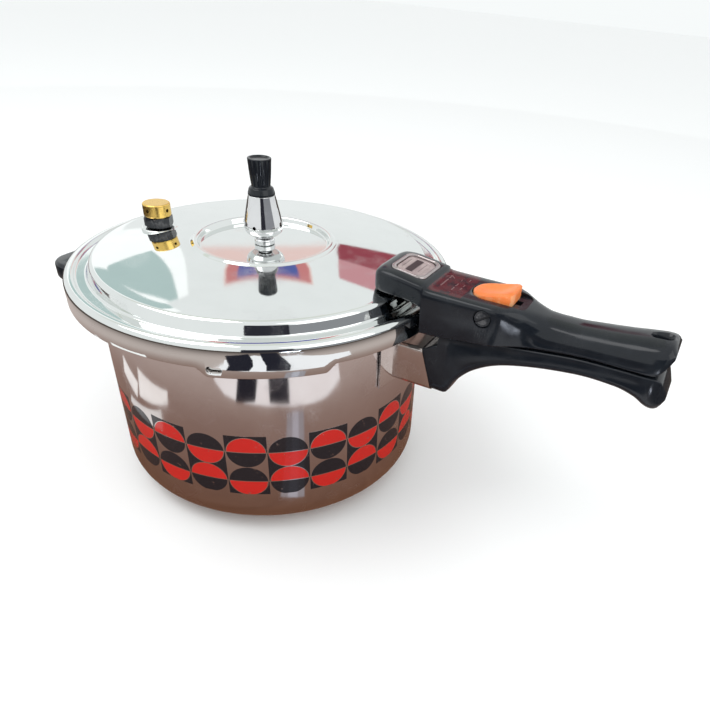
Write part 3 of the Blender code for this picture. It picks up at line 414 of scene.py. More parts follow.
class NodeTree:
    """A Geometry Nodes tree with named number inputs that ends in one material."""

    def __init__(self, name: str, sizes: dict[str, float | int]) -> None:
        """Starts the tree.

        Args:
            name: Name of the tree.
            sizes: Named inputs and their values; whole numbers become integer inputs.
        """
        self.tree = bpy.data.node_groups.new(name, "GeometryNodeTree")
        self.sizes = sizes
        self.sockets = {}
        for label, value in sizes.items():
            kind = "NodeSocketInt" if isinstance(value, int) else "NodeSocketFloat"
            socket = self.tree.interface.new_socket(label, in_out="INPUT", socket_type=kind)
            self.sockets[label] = socket.identifier
        self.tree.interface.new_socket("Geometry", in_out="OUTPUT", socket_type="NodeSocketGeometry")
        self.entry = self.tree.nodes.new("NodeGroupInput")

    def node(self, kind: str, **settings: object) -> bpy.types.Node:
        """Adds a node and sets its properties.

        Args:
            kind: Type of the node.
            settings: Properties and their values.

        Returns:
            The node.
        """
        node = self.tree.nodes.new(kind)
        for key, value in settings.items():
            setattr(node, key, value)
        return node

    def join(self, source: bpy.types.NodeSocket, target: bpy.types.NodeSocket) -> None:
        """Links an output to an input."""
        self.tree.links.new(source, target)

    def feed(self, label: str, target: bpy.types.NodeSocket) -> None:
        """Links a named input of the tree to a node."""
        self.join(self.entry.outputs[label], target)

    def mesh(
        self, name: str, geometry: bpy.types.NodeSocket, material: bpy.types.Material
    ) -> bpy.types.Object:
        """Ends the tree, runs it once and keeps the result as a plain mesh.

        Args:
            name: Name of the object.
            geometry: Output that holds the finished geometry.
            material: Material set on all of it.

        Returns:
            The object, with no modifier left on it.
        """
        real = self.node("GeometryNodeRealizeInstances")
        dress = self.node("GeometryNodeSetMaterial")
        dress.inputs["Material"].default_value = material
        leave = self.node("NodeGroupOutput")
        self.join(geometry, real.inputs["Geometry"])
        self.join(real.outputs["Geometry"], dress.inputs["Geometry"])
        self.join(dress.outputs["Geometry"], leave.inputs["Geometry"])
        obj = bpy.data.objects.new(name, bpy.data.meshes.new(name))
        bpy.context.scene.collection.objects.link(obj)
        modifier = obj.modifiers.new(name, "NODES")
        modifier.node_group = self.tree
        for label, value in self.sizes.items():
            modifier[self.sockets[label]] = value
        return settled(obj)


def ring_of_pins(
    name: str, count: int, ring: float, radius: float, length: float, sides: int, material: bpy.types.Material
) -> bpy.types.Object:
    """Pins that point out from a vertical axis, evenly round it.

    Args:
        name: Name of the object.
        count: Number of pins.
        ring: Radius of the circle on which their middles lie.
        radius: Radius of a pin.
        length: Length of a pin.
        sides: Number of sides of a pin.
        material: Material of the pins.

    Returns:
        All pins as one mesh, round the origin.
    """
    sizes = {"Count": count, "Ring": ring, "Radius": radius, "Length": length, "Sides": sides}
    tree = NodeTree(name, sizes)
    path = tree.node("GeometryNodeMeshCircle")
    tree.feed("Count", path.inputs["Vertices"])
    tree.feed("Ring", path.inputs["Radius"])
    pin = tree.node("GeometryNodeMeshCylinder", fill_type="NGON")
    tree.feed("Sides", pin.inputs["Vertices"])
    tree.feed("Radius", pin.inputs["Radius"])
    tree.feed("Length", pin.inputs["Depth"])
    place = tree.node("GeometryNodeInputPosition")
    lay = tree.node("FunctionNodeAlignRotationToVector", axis="Z")
    tree.join(place.outputs["Position"], lay.inputs["Vector"])
    put = tree.node("GeometryNodeInstanceOnPoints")
    tree.join(path.outputs["Mesh"], put.inputs["Points"])
    tree.join(pin.outputs["Mesh"], put.inputs["Instance"])
    tree.join(lay.outputs["Rotation"], put.inputs["Rotation"])
    return tree.mesh(name, put.outputs["Instances"], material)


def coil(
    name: str, coils: float, radius: float, height: float, wire: float, material: bpy.types.Material
) -> bpy.types.Object:
    """A coil spring about the Z axis, from z = 0 up, of round wire.

    Args:
        name: Name of the object.
        coils: Number of turns.
        radius: Radius of the helix.
        height: Height of the helix.
        wire: Radius of the wire.
        material: What it is made of.

    Returns:
        The coil.
    """
    sizes = {"Coils": coils, "Radius": radius, "Height": height, "Wire": wire, "Steps": 28}
    tree = NodeTree(name, sizes)
    path = tree.node("GeometryNodeCurveSpiral")
    tree.feed("Steps", path.inputs["Resolution"])
    tree.feed("Coils", path.inputs["Rotations"])
    tree.feed("Radius", path.inputs["Start Radius"])
    tree.feed("Radius", path.inputs["End Radius"])
    tree.feed("Height", path.inputs["Height"])
    section = tree.node("GeometryNodeCurvePrimitiveCircle")
    section.inputs["Resolution"].default_value = 10
    tree.feed("Wire", section.inputs["Radius"])
    skin = tree.node("GeometryNodeCurveToMesh")
    skin.inputs["Fill Caps"].default_value = True
    tree.join(path.outputs["Curve"], skin.inputs["Curve"])
    tree.join(section.outputs["Curve"], skin.inputs["Profile Curve"])
    return tree.mesh(name, skin.outputs["Mesh"], material)


# ------------------------------------------------------------------ finishes


class Signal:
    """A number inside a material's nodes; arithmetic on it adds Math nodes."""

    def __init__(self, graph: "Graph", socket: bpy.types.NodeSocket) -> None:
        """Wraps an output socket of the graph."""
        self.graph = graph
        self.socket = socket

    def __add__(self, other: "Signal | float") -> "Signal":
        """Sum."""
        return self.graph.math("ADD", self, other)

    def __sub__(self, other: "Signal | float") -> "Signal":
        """Difference."""
        return self.graph.math("SUBTRACT", self, other)

    def __rsub__(self, other: float) -> "Signal":
        """Difference from a plain number."""
        return self.graph.math("SUBTRACT", other, self)

    def __mul__(self, other: "Signal | float") -> "Signal":
        """Product."""
        return self.graph.math("MULTIPLY", self, other)

    def __truediv__(self, other: "Signal | float") -> "Signal":
        """Quotient."""
        return self.graph.math("DIVIDE", self, other)

    def __gt__(self, other: "Signal | float") -> "Signal":
        """1 where greater, else 0."""
        return self.graph.math("GREATER_THAN", self, other)

    def __lt__(self, other: "Signal | float") -> "Signal":
        """1 where less, else 0."""
        return self.graph.math("LESS_THAN", self, other)

    def __abs__(self) -> "Signal":
        """Size without sign."""
        return self.graph.math("ABSOLUTE", self)

    def fade(self, low: float, high: float) -> "Signal":
        """Smooth step from 0 at low to 1 at high.

        Args:
            low: Where the step starts.
            high: Where the step ends.

        Returns:
            The step.
        """
        node = self.graph.node("ShaderNodeMapRange", interpolation_type="SMOOTHSTEP")
        self.graph.join(self.socket, node.inputs["Value"])
        node.inputs["From Min"].default_value = low
        node.inputs["From Max"].default_value = high
        return Signal(self.graph, node.outputs["Result"])


class Graph:
    """Nodes of one procedural material, in Object coordinates."""

    def __init__(self, name: str) -> None:
        """Starts a material with one Principled shader.

        Args:
            name: Name of the material.
        """
        self.material = bpy.data.materials.new(name)
        self.material.use_nodes = True
        self.tree = self.material.node_tree
        self.shader = self.tree.nodes["Principled BSDF"]
        self.coords = self.node("ShaderNodeTexCoord").outputs["Object"]

    def node(self, kind: str, **settings: object) -> bpy.types.Node:
        """Adds a node and sets its properties.

        Args:
            kind: Type of the node.
            settings: Properties and their values.

        Returns:
            The node.
        """
        node = self.tree.nodes.new(kind)
        for key, value in settings.items():
            setattr(node, key, value)
        return node

    def join(self, source: bpy.types.NodeSocket, target: bpy.types.NodeSocket) -> None:
        """Links an output to an input."""
        self.tree.links.new(source, target)

    def fix(self, **values: float | Colour) -> None:
        """Sets constants on the shader's own sockets.

        Args:
            values: Value of each socket, named as in Coat_Weight=0.2.
        """
        for key, value in values.items():
            socket = self.shader.inputs[key.replace("_", " ")]
            socket.default_value = (*value, 1.0) if isinstance(value, tuple) else value

    def math(self, operation: str, *numbers: Signal | float) -> Signal:
        """Adds a Math node.

        Args:
            operation: What the node does.
            numbers: Its inputs, in order.

        Returns:
            Its value.
        """
        node = self.node("ShaderNodeMath", operation=operation)
        for number, socket in zip(numbers, node.inputs):
            if isinstance(number, Signal):
                self.join(number.socket, socket)
            else:
                socket.default_value = number
        return Signal(self, node.outputs["Value"])

    def both(self, *signals: Signal) -> Signal:
        """1 where all are 1.

        Args:
            signals: Signals of 0 or 1.

        Returns:
            Their least value.
        """
        out = signals[0]
        for signal in signals[1:]:
            out = out * signal
        return out

    def either(self, *signals: Signal) -> Signal:
        """The greatest of some signals.

        Args:
            signals: Signals of 0 or 1.

        Returns:
            Their greatest value.
        """
        out = signals[0]
        for signal in signals[1:]:
            out = self.math("MAXIMUM", out, signal)
        return out

    def place(self) -> tuple[Signal, Signal, Signal]:
        """X, Y and Z in millimetres.

        Returns:
            The three places.
        """
        node = self.node("ShaderNodeSeparateXYZ")
        self.join(self.coords, node.inputs["Vector"])
        return tuple(Signal(self, node.outputs[axis]) * 1000.0 for axis in "XYZ")

    def noise(
        self,
        size: float,
        detail: float = 4,
        stretch: Point = (1, 1, 1),
        tilt: Point = (0, 0, 0),
        rough: float = 0.55,
    ) -> Signal:
        """Noise with grains of about a size in metres.

        Args:
            size: Size of the largest grain.
            detail: Octaves.
            stretch: How many times finer the grain is along each axis.
            tilt: Turn of the grain, in degrees.
            rough: Weight of the finer octaves.

        Returns:
            A number from 0 to 1, mostly near 0.5.
        """
        mapping = self.node("ShaderNodeMapping")
        mapping.inputs["Scale"].default_value = stretch
        mapping.inputs["Rotation"].default_value = [math.radians(a) for a in tilt]
        self.join(self.coords, mapping.inputs["Vector"])
        node = self.node("ShaderNodeTexNoise")
        node.inputs["Scale"].default_value = 1 / size
        node.inputs["Detail"].default_value = detail
        node.inputs["Roughness"].default_value = rough
        self.join(mapping.outputs["Vector"], node.inputs["Vector"])
        return Signal(self, node.outputs["Fac"])

    def scratches(self, size: float = 0.004) -> Signal:
        """Fine hairlines in three directions: 1 on a scratch, else 0.

        Args:
            size: Half the width of a hairline, as a share of the noise.

        Returns:
            The mask of the hairlines.
        """
        lines = []
        for tilt in ((0, 0, 15), (0, 0, 75), (0, 0, -50)):
            grain = self.noise(size, 2, (14, 0.35, 1.5), tilt)
            lines.append((abs(grain - 0.5)).fade(0.012, 0.0))
        worn = self.noise(0.03, 2).fade(0.52, 0.66)
        return self.either(*lines) * worn

    def edge(self, low: float = 0.52, high: float = 0.6) -> Signal:
        """1 on outward edges, from the shape itself."""
        node = self.node("ShaderNodeNewGeometry")
        return Signal(self, node.outputs["Pointiness"]).fade(low, high)

    def mix(
        self,
        factor: Signal,
        first: Colour | bpy.types.NodeSocket,
        second: Colour | bpy.types.NodeSocket,
    ) -> bpy.types.NodeSocket:
        """Colour that goes from first to second as factor goes from 0 to 1.

        Args:
            factor: Share of the second colour.
            first: Colour at 0.
            second: Colour at 1.

        Returns:
            The mixed colour.
        """
        node = self.node("ShaderNodeMix", data_type="RGBA")
        self.join(factor.socket, node.inputs["Factor"])
        for value, socket in zip((first, second), (node.inputs[6], node.inputs[7])):
            if isinstance(value, tuple):
                socket.default_value = (*value, 1.0)
            else:
                self.join(value, socket)
        return node.outputs[2]

    def colour(self, source: bpy.types.NodeSocket) -> None:
        """Links the base colour."""
        self.join(source, self.shader.inputs["Base Color"])

    def roughness(self, source: Signal) -> None:
        """Links the roughness."""
        self.join(source.socket, self.shader.inputs["Roughness"])

    def metal(self, source: Signal) -> None:
        """Links how metallic the surface is."""
        self.join(source.socket, self.shader.inputs["Metallic"])

    def relief(self, height: Signal, strength: float, depth: float) -> None:
        """Adds a bump, on top of any that is there.

        Args:
            height: Height, from 0 to 1.
            strength: Strength of the bump.
            depth: Depth in millimetres.
        """
        node = self.node("ShaderNodeBump")
        node.inputs["Strength"].default_value = strength
        node.inputs["Distance"].default_value = depth
        self.join(height.socket, node.inputs["Height"])
        normal = self.shader.inputs["Normal"]
        if normal.links:
            self.join(normal.links[0].from_socket, node.inputs["Normal"])
        self.join(node.outputs["Normal"], normal)


@dataclass(frozen=True)
class Finish:
    """What a surface is made of and how it has worn."""

    name: str
    slot: Slot
    colour: Colour
    tone: Colour
    roughness: float
    spread: float = 0.05

    def make(self) -> bpy.types.Material:
        """Builds the material."""
        raise NotImplementedError


@dataclass(frozen=True)
class Metal(Finish):
    """Bright metal with smudges, hairlines and a slight unevenness of the sheet."""

    wave: float = 0.0
    wave_size: float = 0.03
    scratch: float = 0.25

    def base(self, graph: Graph) -> bpy.types.NodeSocket:
        """Sets up the bare metal and returns its colour.

        Args:
            graph: The material's nodes.

        Returns:
            The colour.
        """
        graph.fix(Metallic=1.0)
        cloud = graph.noise(0.022, 4).fade(0.35, 0.7)
        smudge = graph.noise(0.05, 3, rough=0.65).fade(0.45, 0.75)
        lines = graph.scratches()
        graph.roughness(smudge * self.spread + lines * self.scratch + self.roughness)
        if self.wave:
            graph.relief(graph.noise(self.wave_size, 1), self.wave, 0.001)
        graph.relief(graph.noise(0.0006, 2), 0.012, 0.0002)
        return graph.mix(cloud, self.colour, self.tone)

    def make(self) -> bpy.types.Material:
        """Builds the material.

        Returns:
            The material.
        """
        graph = Graph(self.name)
        graph.colour(self.base(graph))
        return graph.material


@dataclass(frozen=True)
class PrintedSteel(Metal):
    """Polished steel with a printed band of half circles in two inks round the pot."""

    red: Colour = (0.52, 0.018, 0.014)
    black: Colour = (0.014, 0.012, 0.015)
    wall: float = 104.0
    columns: int = 26
    start: float = -83.0
    top: float = 78.0
    upper: float = 65.8
    lower: float = 43.5
    foot: float = 33.0
    circle: float = 11.0
    squeeze: float = 0.93
    outline: float = 0.22
    line: float = 0.5

    def make(self) -> bpy.types.Material:
        """Builds the material; sizes of the band are in millimetres and degrees.

        Returns:
            The material.
        """
        graph = Graph(self.name)
        steel = self.base(graph)
        x, y, z = graph.place()
        width = 2 * math.pi * self.wall / self.columns
        angle = graph.math("ARCTAN2", y, x) * (180 / math.pi) - (self.start - 360)
        column = angle * (self.columns / 360)
        even = graph.math("MODULO", graph.math("FLOOR", column), 2.0)
        across = (graph.math("FRACT", column) - 0.5) * (width * self.squeeze)
        high = z > (self.upper + self.lower) / 2
        near = z - (high * (self.upper - self.lower) + self.lower)
        far = graph.math("SQRT", across * across + near * near)
        inner = graph.both(z < self.upper, z > self.lower)
        swap = abs(even - inner)
        outside = graph.math("SQRT", x * x + y * y) > (self.wall - 0.6)
        band = graph.both(z < self.top, z > self.foot, outside)
        printed = graph.both(band, abs(near) > self.line / 2)
        disc = far < (self.circle - self.outline)
        ground = far > (self.circle + self.outline)
        wear = graph.noise(0.0035, 5, rough=0.75) < 0.66
        red = graph.both(printed, swap, disc, wear)
        black = graph.both(graph.either(swap * ground, (1.0 - swap) * (far < self.circle)), printed, wear)
        inked = graph.mix(red, graph.mix(black, steel, self.black), self.red)
        graph.colour(inked)
        ink = graph.either(red, black)
        graph.metal(1.0 - ink)
        graph.relief(ink, 0.15, 0.00008)
        return graph.material


@dataclass(frozen=True)
class Moulding(Finish):
    """Moulded plastic or bakelite with fine grain, haze and edges rubbed by use."""

    rub: Colour = (0.08, 0.08, 0.085)
    grain: float = 0.05
    soft: float = 0.0

    def base(self, graph: Graph) -> bpy.types.NodeSocket:
        """Sets up the bare moulding and returns its colour.

        Args:
            graph: The material's nodes.

        Returns:
            The colour.
        """
        graph.fix(IOR=1.4)
        if self.soft:
            graph.fix(Subsurface_Weight=self.soft, Subsurface_Scale=0.002)
        haze = graph.noise(0.018, 4, rough=0.6).fade(0.4, 0.72)
        rubbed = graph.edge() * graph.noise(0.004, 4).fade(0.4, 0.62)
        marks = graph.scratches(0.005)
        graph.roughness(haze * self.spread + marks * 0.12 + rubbed * 0.12 + self.roughness)
        graph.relief(graph.noise(0.0009, 3), self.grain, 0.0001)
        tinted = graph.mix(haze, self.colour, self.tone)
        return graph.mix(graph.either(rubbed, marks * 0.25), tinted, self.rub)

    def make(self) -> bpy.types.Material:
        """Builds the material.

        Returns:
            The material.
        """
        graph = Graph(self.name)
        graph.colour(self.base(graph))
        return graph.material


@dataclass(frozen=True)
class PrintedMoulding(Moulding):
    """Moulding with a worn dark red patch and plain pale marks on the panel in front of the button."""

    ink: Colour = (0.075, 0.012, 0.016)
    mark: Colour = (0.16, 0.1, 0.1)
    first: float = 123.0
    last: float = 143.5
    half: float = 17.0
    floor: float = 0.0

    def make(self) -> bpy.types.Material:
        """Builds the material; sizes of the patch are in millimetres.

        Returns:
            The material.
        """
        graph = Graph(self.name)
        bare = self.base(graph)
        x, y, z = graph.place()
        worn = graph.noise(0.006, 6, rough=0.7)
        on_top = z > self.floor
        patch = graph.both(x > self.first, x < self.last, abs(y) < self.half, on_top) * worn.fade(0.36, 0.55)
        arrow = graph.both(abs(x - 127.6) < 0.45, abs(y) < 8.5)
        barb = graph.both(abs(abs(y - 8.5) * 0.8 - abs(x - 127.6)) < 0.4, y < 8.5, y > 5.2)
        bars = graph.both(abs(x - 135.0) < 0.4, graph.math("FRACT", y * 0.16) > 0.35, abs(y) < 13.0)
        dashes = graph.both(abs(x - 139.0) < 0.35, graph.math("FRACT", y * 0.22) > 0.4, abs(y) < 9.0)
        marks = graph.both(graph.either(arrow, barb, bars, dashes), on_top, worn > 0.46)
        graph.colour(graph.mix(marks, graph.mix(patch, bare, self.ink), self.mark))
        return graph.material


@dataclass(frozen=True)
class Rubber(Finish):
    """Silicone rubber with a fine speckle and a soft sheen."""

    def make(self) -> bpy.types.Material:
        """Builds the material.

        Returns:
            The material.
        """
        graph = Graph(self.name)
        graph.fix(Sheen_Weight=0.15, Sheen_Roughness=0.5)
        speck = graph.noise(0.0012, 3, rough=0.8).fade(0.4, 0.7)
        cloud = graph.noise(0.03, 3).fade(0.35, 0.65)
        graph.colour(graph.mix(speck * 0.6 + cloud * 0.4, self.colour, self.tone))
        graph.roughness(cloud * self.spread + self.roughness)
        graph.relief(speck, 0.15, 0.0001)
        return graph.material


@dataclass(frozen=True)
class NamePlate(Finish):
    """Dull pressed plate with raised border lines and a plain dark bar, with no lettering."""

    centre: Flat = (107.0, 0.0)
    dark: Colour = (0.045, 0.025, 0.03)

    def make(self) -> bpy.types.Material:
        """Builds the material; sizes are in millimetres.

        Returns:
            The material.
        """
        graph = Graph(self.name)
        x, y, _ = graph.place()
        u = abs(x - self.centre[0])
        v = abs(y - self.centre[1])
        bar = graph.both(u < 2.6, v < 9.0, graph.either(u < 1.9, v < 8.3))
        rim = graph.both(bar, graph.either(u > 2.1, v > 8.5))
        rules = graph.both(abs(u - 5.0) < 0.2, v < 6.5)
        grain = graph.noise(0.003, 5, (1, 6, 1), rough=0.7)
        cloud = graph.noise(0.008, 3).fade(0.35, 0.7)
        plate = graph.mix(cloud, self.colour, self.tone)
        shaded = graph.mix(graph.either(bar, rules * 0.7), plate, self.dark)
        graph.colour(graph.mix(rim * 0.6, shaded, self.colour))
        graph.fix(Metallic=0.55)
        graph.roughness(grain * self.spread + self.roughness)
        graph.relief(graph.either(bar, rules), -0.4, 0.0003)
        graph.relief(grain, 0.08, 0.0001)
        return graph.material


LID_STEEL = Metal("mirror_steel", Slot.LID_STEEL, (0.8, 0.82, 0.81), (0.78, 0.8, 0.79), 0.03, 0.03, wave=0.02)
POT_STEEL = PrintedSteel(
    "pot_steel", Slot.POT_STEEL, (0.72, 0.67, 0.65), (0.68, 0.62, 0.6), 0.07, 0.06, wave=0.04
)
PLAIN_STEEL = Metal("plain_steel", Slot.POT_STEEL, (0.72, 0.67, 0.64), (0.66, 0.6, 0.57), 0.1, 0.1, wave=0.06)
FRAME_METAL = Metal("dull_chrome", Slot.CHROME, (0.5, 0.45, 0.45), (0.4, 0.35, 0.35), 0.22, 0.1)
SMALL_STEEL = Metal("small_steel", Slot.SMALL_STEEL, (0.6, 0.6, 0.6), (0.5, 0.5, 0.5), 0.18, 0.15)
CHROME = Metal("bright_chrome", Slot.CHROME, (0.78, 0.78, 0.79), (0.7, 0.7, 0.71), 0.05, 0.05)
BRASS = Metal("lacquered_brass", Slot.BRASS, (0.86, 0.58, 0.16), (0.78, 0.47, 0.14), 0.14, 0.12)
BLACK = Moulding(
    "black_bakelite", Slot.BAKELITE, (0.008, 0.01, 0.014), (0.012, 0.015, 0.02), 0.11, 0.1, grain=0.015
)
ORANGE = Moulding(
    "orange_slide",
    Slot.ORANGE,
    (0.93, 0.23, 0.045),
    (0.86, 0.19, 0.035),
    0.3,
    0.12,
    (0.96, 0.5, 0.25),
    0.06,
    0.15,
)
SEAL = Rubber("grey_silicone", Slot.SILICONE, (0.16, 0.175, 0.18), (0.24, 0.255, 0.26), 0.5, 0.12)
PLATE = NamePlate("blank_plate", Slot.BADGE, (0.5, 0.42, 0.41), (0.38, 0.3, 0.3), 0.3, 0.2)


@cache
def material_of(finish: Finish) -> bpy.types.Material:
    """The material of a finish, made once."""
    return finish.make()


def dress(
    obj: bpy.types.Object, finish: Finish, body: Body, *nodes: str, sharp: float = SHARP
) -> bpy.types.Object:
    """Gives a finished piece its material and body, and hides the CAD nodes that it stands for.

    Args:
        obj: The piece, in place.
        finish: Its finish.
        body: The CAD body that it rides on.
        *nodes: CAD nodes that it replaces.
        sharp: Edges sharper than this angle, in radians, stay crisp.

    Returns:
        The piece.
    """
    obj.data.materials.clear()
    obj.data.materials.append(material_of(finish))
    obj.data.shade_smooth()
    obj.data.set_sharp_from_angle(angle=sharp)
    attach(obj, body.value)
    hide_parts(*nodes)
    LOG.info("%s: %d faces, on %s", obj.name, len(obj.data.polygons), body.value)
    return obj


def repaint(node: str, finish: Finish) -> None:
    """Gives a CAD node that stays as it is a finished material.

    Args:
        node: Name of the node.
        finish: Its finish.
    """
    obj = frame["nodes"][node]
    for slot in obj.material_slots:
        slot.material = material_of(finish)
    LOG.info("%s: kept, in %s", node, finish.name)


# ------------------------------------------------------------------ lid


@dataclass
class Rim:
    """Sizes that the lid, the pot and the ring share, and the height of the rim line."""

    bead_top: float = 16.3 * MM
    lid_radius: float = 120 * MM
    pot_radius: float = 104 * MM
    sheet: float = 1.5 * MM
    hook_drop: float = 15.5 * MM
    hook_reach: float = 9.2 * MM
    tab_span: float = 36.0
    first_tab: float = -53.0
    tabs: int = 3

    @cached_property
    def z(self) -> float:
        """Height of the rim line over the worktop."""
        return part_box("lid_shell")[1].z - self.bead_top

    def tab_share(self, angle: float, ramp: float) -> float:
        """How far a place round the rim is inside a tab, from 0 to 1 over a ramp in degrees.

        Args:
            angle: Place round the rim, in degrees.
            ramp: Width of the ramp, in degrees.

        Returns:
            The share.
        """
        best = 0.0
        for i in range(self.tabs):
            off = abs((angle - self.first_tab - 360 / self.tabs * i + 180) % 360 - 180)
            best = max(best, min(1.0, max(0.0, (self.tab_span / 2 - off) / ramp)))
        return best * best * (3 - 2 * best)

    def turns(self, step: float = 1.5) -> list[float]:
        """Angles round the rim, closer together at the ends of each tab.

        Args:
            step: Widest step, in degrees.

        Returns:
            The angles, in degrees.
        """
        places = {round(i * step, 3) for i in range(round(360 / step))}
        for i in range(self.tabs):
            middle = self.first_tab + 360 / self.tabs * i
            for side in (-1, 1):
                end = middle + side * self.tab_span / 2
                places |= {round((end - side * 0.25 * k) % 360, 3) for k in range(-1, 20)}
        return sorted(places)


@dataclass
class LidShell:
    """Pressed lid: rounded edge, channel, raised plateau, bead round a flat dish, and skirt with hooks."""

    rim: Rim
    skirt: float = 10.5 * MM
    channel: float = 1.6 * MM
    step_radius: float = 106.2 * MM
    plateau_radius: float = 102.5 * MM
    plateau_edge: float = 9.3 * MM
    plateau_top: float = 15.1 * MM
    bead_radius: float = 45.1 * MM
    bead_width: float = 5.9 * MM
    dish: float = 12.7 * MM
    hole: float = 5.2 * MM
    seat_radius: float = 11.5 * MM
    seat_rise: float = 1.1 * MM
    window_angle: float = -66.0
    window: Flat = (8.4 * MM, 4 * MM)

    def dome(self, r: float) -> float:
        """Height of the plateau over the rim line."""
        share = (r - self.bead_radius) / (self.plateau_radius - self.bead_radius)
        return self.plateau_top - (self.plateau_top - self.plateau_edge) * (0.9 * share + 0.1 * share**2)

    def sheet_line(self) -> list[Flat]:
        """Top side of the sheet from the vent's hole out to the top of the skirt.

        Returns:
            Pairs of radius and height.
        """
        top = self.rim.bead_top
        inner = self.bead_radius - self.bead_width
        out = self.rim.lid_radius
        corners = [
            (self.hole, self.dish),
            (inner + 0.9 * MM, self.dish, 1.0 * MM),
            (inner + 2.0 * MM, top, 1.5 * MM),
            (self.bead_radius - 1.7 * MM, top, 1.6 * MM),
            (self.bead_radius + 0.3 * MM, self.dome(self.bead_radius), 1.2 * MM),
        ]
        first = self.bead_radius + 4 * MM
        last = self.plateau_radius - 3 * MM
        corners += [
            (first + (last - first) * i / 14, self.dome(first + (last - first) * i / 14)) for i in range(15)
        ]
        corners += [
            (self.plateau_radius + 1.6 * MM, self.plateau_edge, 3.2 * MM),
            (self.step_radius + 0.6 * MM, self.channel, 1.8 * MM),
            (out - 6.9 * MM, self.channel, 1.5 * MM),
            (out - 5.4 * MM, self.channel + 1.9 * MM, 1.6 * MM),
            *arc(out - 3.5 * MM, self.channel - 1.6 * MM, 3.5 * MM, 90, 0, 9),
            (out, -4 * MM),
        ]
        line = rounded([*corners, (out, -30 * MM), (self.hole, -30 * MM)], 7)
        return [p for p in line if p[1] > -10 * MM]

    def profile(self, line: list[Flat], angle: float) -> list[Flat]:
        """Closed section of the sheet, with the skirt and the hook that this place round the rim has.

        Args:
            line: Top side of the sheet.
            angle: Place round the rim, in degrees.

        Returns:
            Pairs of radius and height.
        """
        share = self.rim.tab_share(angle, 3.5)
        turn_in = self.rim.tab_share(angle, 0.8)
        sheet = self.rim.sheet
        out = self.rim.lid_radius
        drop = -(self.skirt + (self.rim.hook_drop - self.skirt) * share)
        reach = sheet + 0.02 * MM + (self.rim.hook_reach - sheet) * turn_in
        edge = 0.4 * MM
        foot = [
            (out, drop + edge),
            (out - 0.12 * MM, drop + 0.12 * MM),
            (out - edge, drop),
            (out - reach + edge, drop),
            (out - reach, drop + edge),
            (out - reach, drop + sheet - edge),
            (out - reach + edge * turn_in, drop + sheet),
            (out - sheet - 0.01 * MM, drop + sheet),
            (out - sheet, drop + sheet + 0.3 * MM),
        ]
        under = self.under_side(line)
        return [(r, self.rim.z + z) for r, z in [*line, *foot, *under]]

    def under_side(self, line: list[Flat]) -> list[Flat]:
        """Under side of the sheet, one thickness inside its top side, back to the hole.

        Args:
            line: Top side of the sheet.

        Returns:
            Pairs of radius and height.
        """
        back = []
        for i in range(len(line) - 1, -1, -1):
            a = Vector(line[max(i - 1, 0)])
            b = Vector(line[min(i + 1, len(line) - 1)])
            along = (b - a).normalized()
            back.append((line[i][0] + along.y * self.rim.sheet, line[i][1] - along.x * self.rim.sheet))
        return back

    def build(self) -> bpy.types.Object:
        """Makes the lid's sheet with its valve seat and window.

        Returns:
            The sheet.
        """
        line = self.sheet_line()
        shell = turned("lid", lambda angle: self.profile(line, angle), turns=self.rim.turns())
        valve = middle_of("valve_cap")
        r = math.hypot(valve.x, valve.y)
        seat_top = self.rim.z + self.dome(r) + self.seat_rise
        low = self.rim.z + self.dome(r + self.seat_radius) - 1.0 * MM
        foot_r = self.seat_radius
        seat_line = rounded(
            [(0, low), (foot_r, low), (foot_r, seat_top, 0.9 * MM), (0, seat_top)], 5
        )
        seat = turned("valve_seat", seat_line, 64, (valve.x, valve.y))
        merge(shell, [seat], Merge.JOIN)
        outline = circle(valve.x, valve.y, self.hole, 40)
        hole = extruded("valve_hole", outline, self.rim.z, self.rim.z + 30 * MM)
        w, h = self.window
        slot = arc(w / 2 - h / 2, 0, h / 2, -90, 90, 10) + arc(h / 2 - w / 2, 0, h / 2, 90, 270, 10)
        radius = self.rim.lid_radius
        window = extruded("ring_window", slot, radius - 4 * MM, radius + 3 * MM, Plane.YZ)
        moved(window, turn(self.window_angle, "Z"), shift(0, 0, self.rim.z - self.skirt - 0.5 * MM))
        merge(shell, [hole, window], Merge.CUT)
        return dress(shell, LID_STEEL, Body.LID, "lid_shell", sharp=math.radians(50))


@dataclass
class SealingRing:
    """Silicone ring in the lid's channel, with a bevelled outer band, a groove and a thin inner lip."""

    def build(self) -> bpy.types.Object:
        """Makes the ring inside the box of its CAD node.

        Returns:
            The ring.
        """
        low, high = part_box("sealing_ring")
        outer = high.x
        inner = 103 * MM
        profile = rounded(
            [
                (inner, low.z + 0.8 * MM, 0.2 * MM),
                (inner, low.z, 0.3 * MM),
                (inner + 4.2 * MM, low.z, 0.3 * MM),
                (inner + 4.6 * MM, low.z + 0.5 * MM, 0.2 * MM),
                (inner + 5.2 * MM, low.z, 0.3 * MM),
                (outer, low.z, 0.6 * MM),
                (outer, high.z - 1.6 * MM, 0.6 * MM),
                (outer - 2 * MM, high.z, 0.7 * MM),
                (inner + 5.5 * MM, high.z, 0.5 * MM),
                (inner + 4.6 * MM, low.z + 1.4 * MM, 0.3 * MM),
            ],
            4,
        )
        ring = turned("gasket", profile, 240)
        return dress(ring, SEAL, Body.SEAL, "sealing_ring")


# ------------------------------------------------------------------ pot


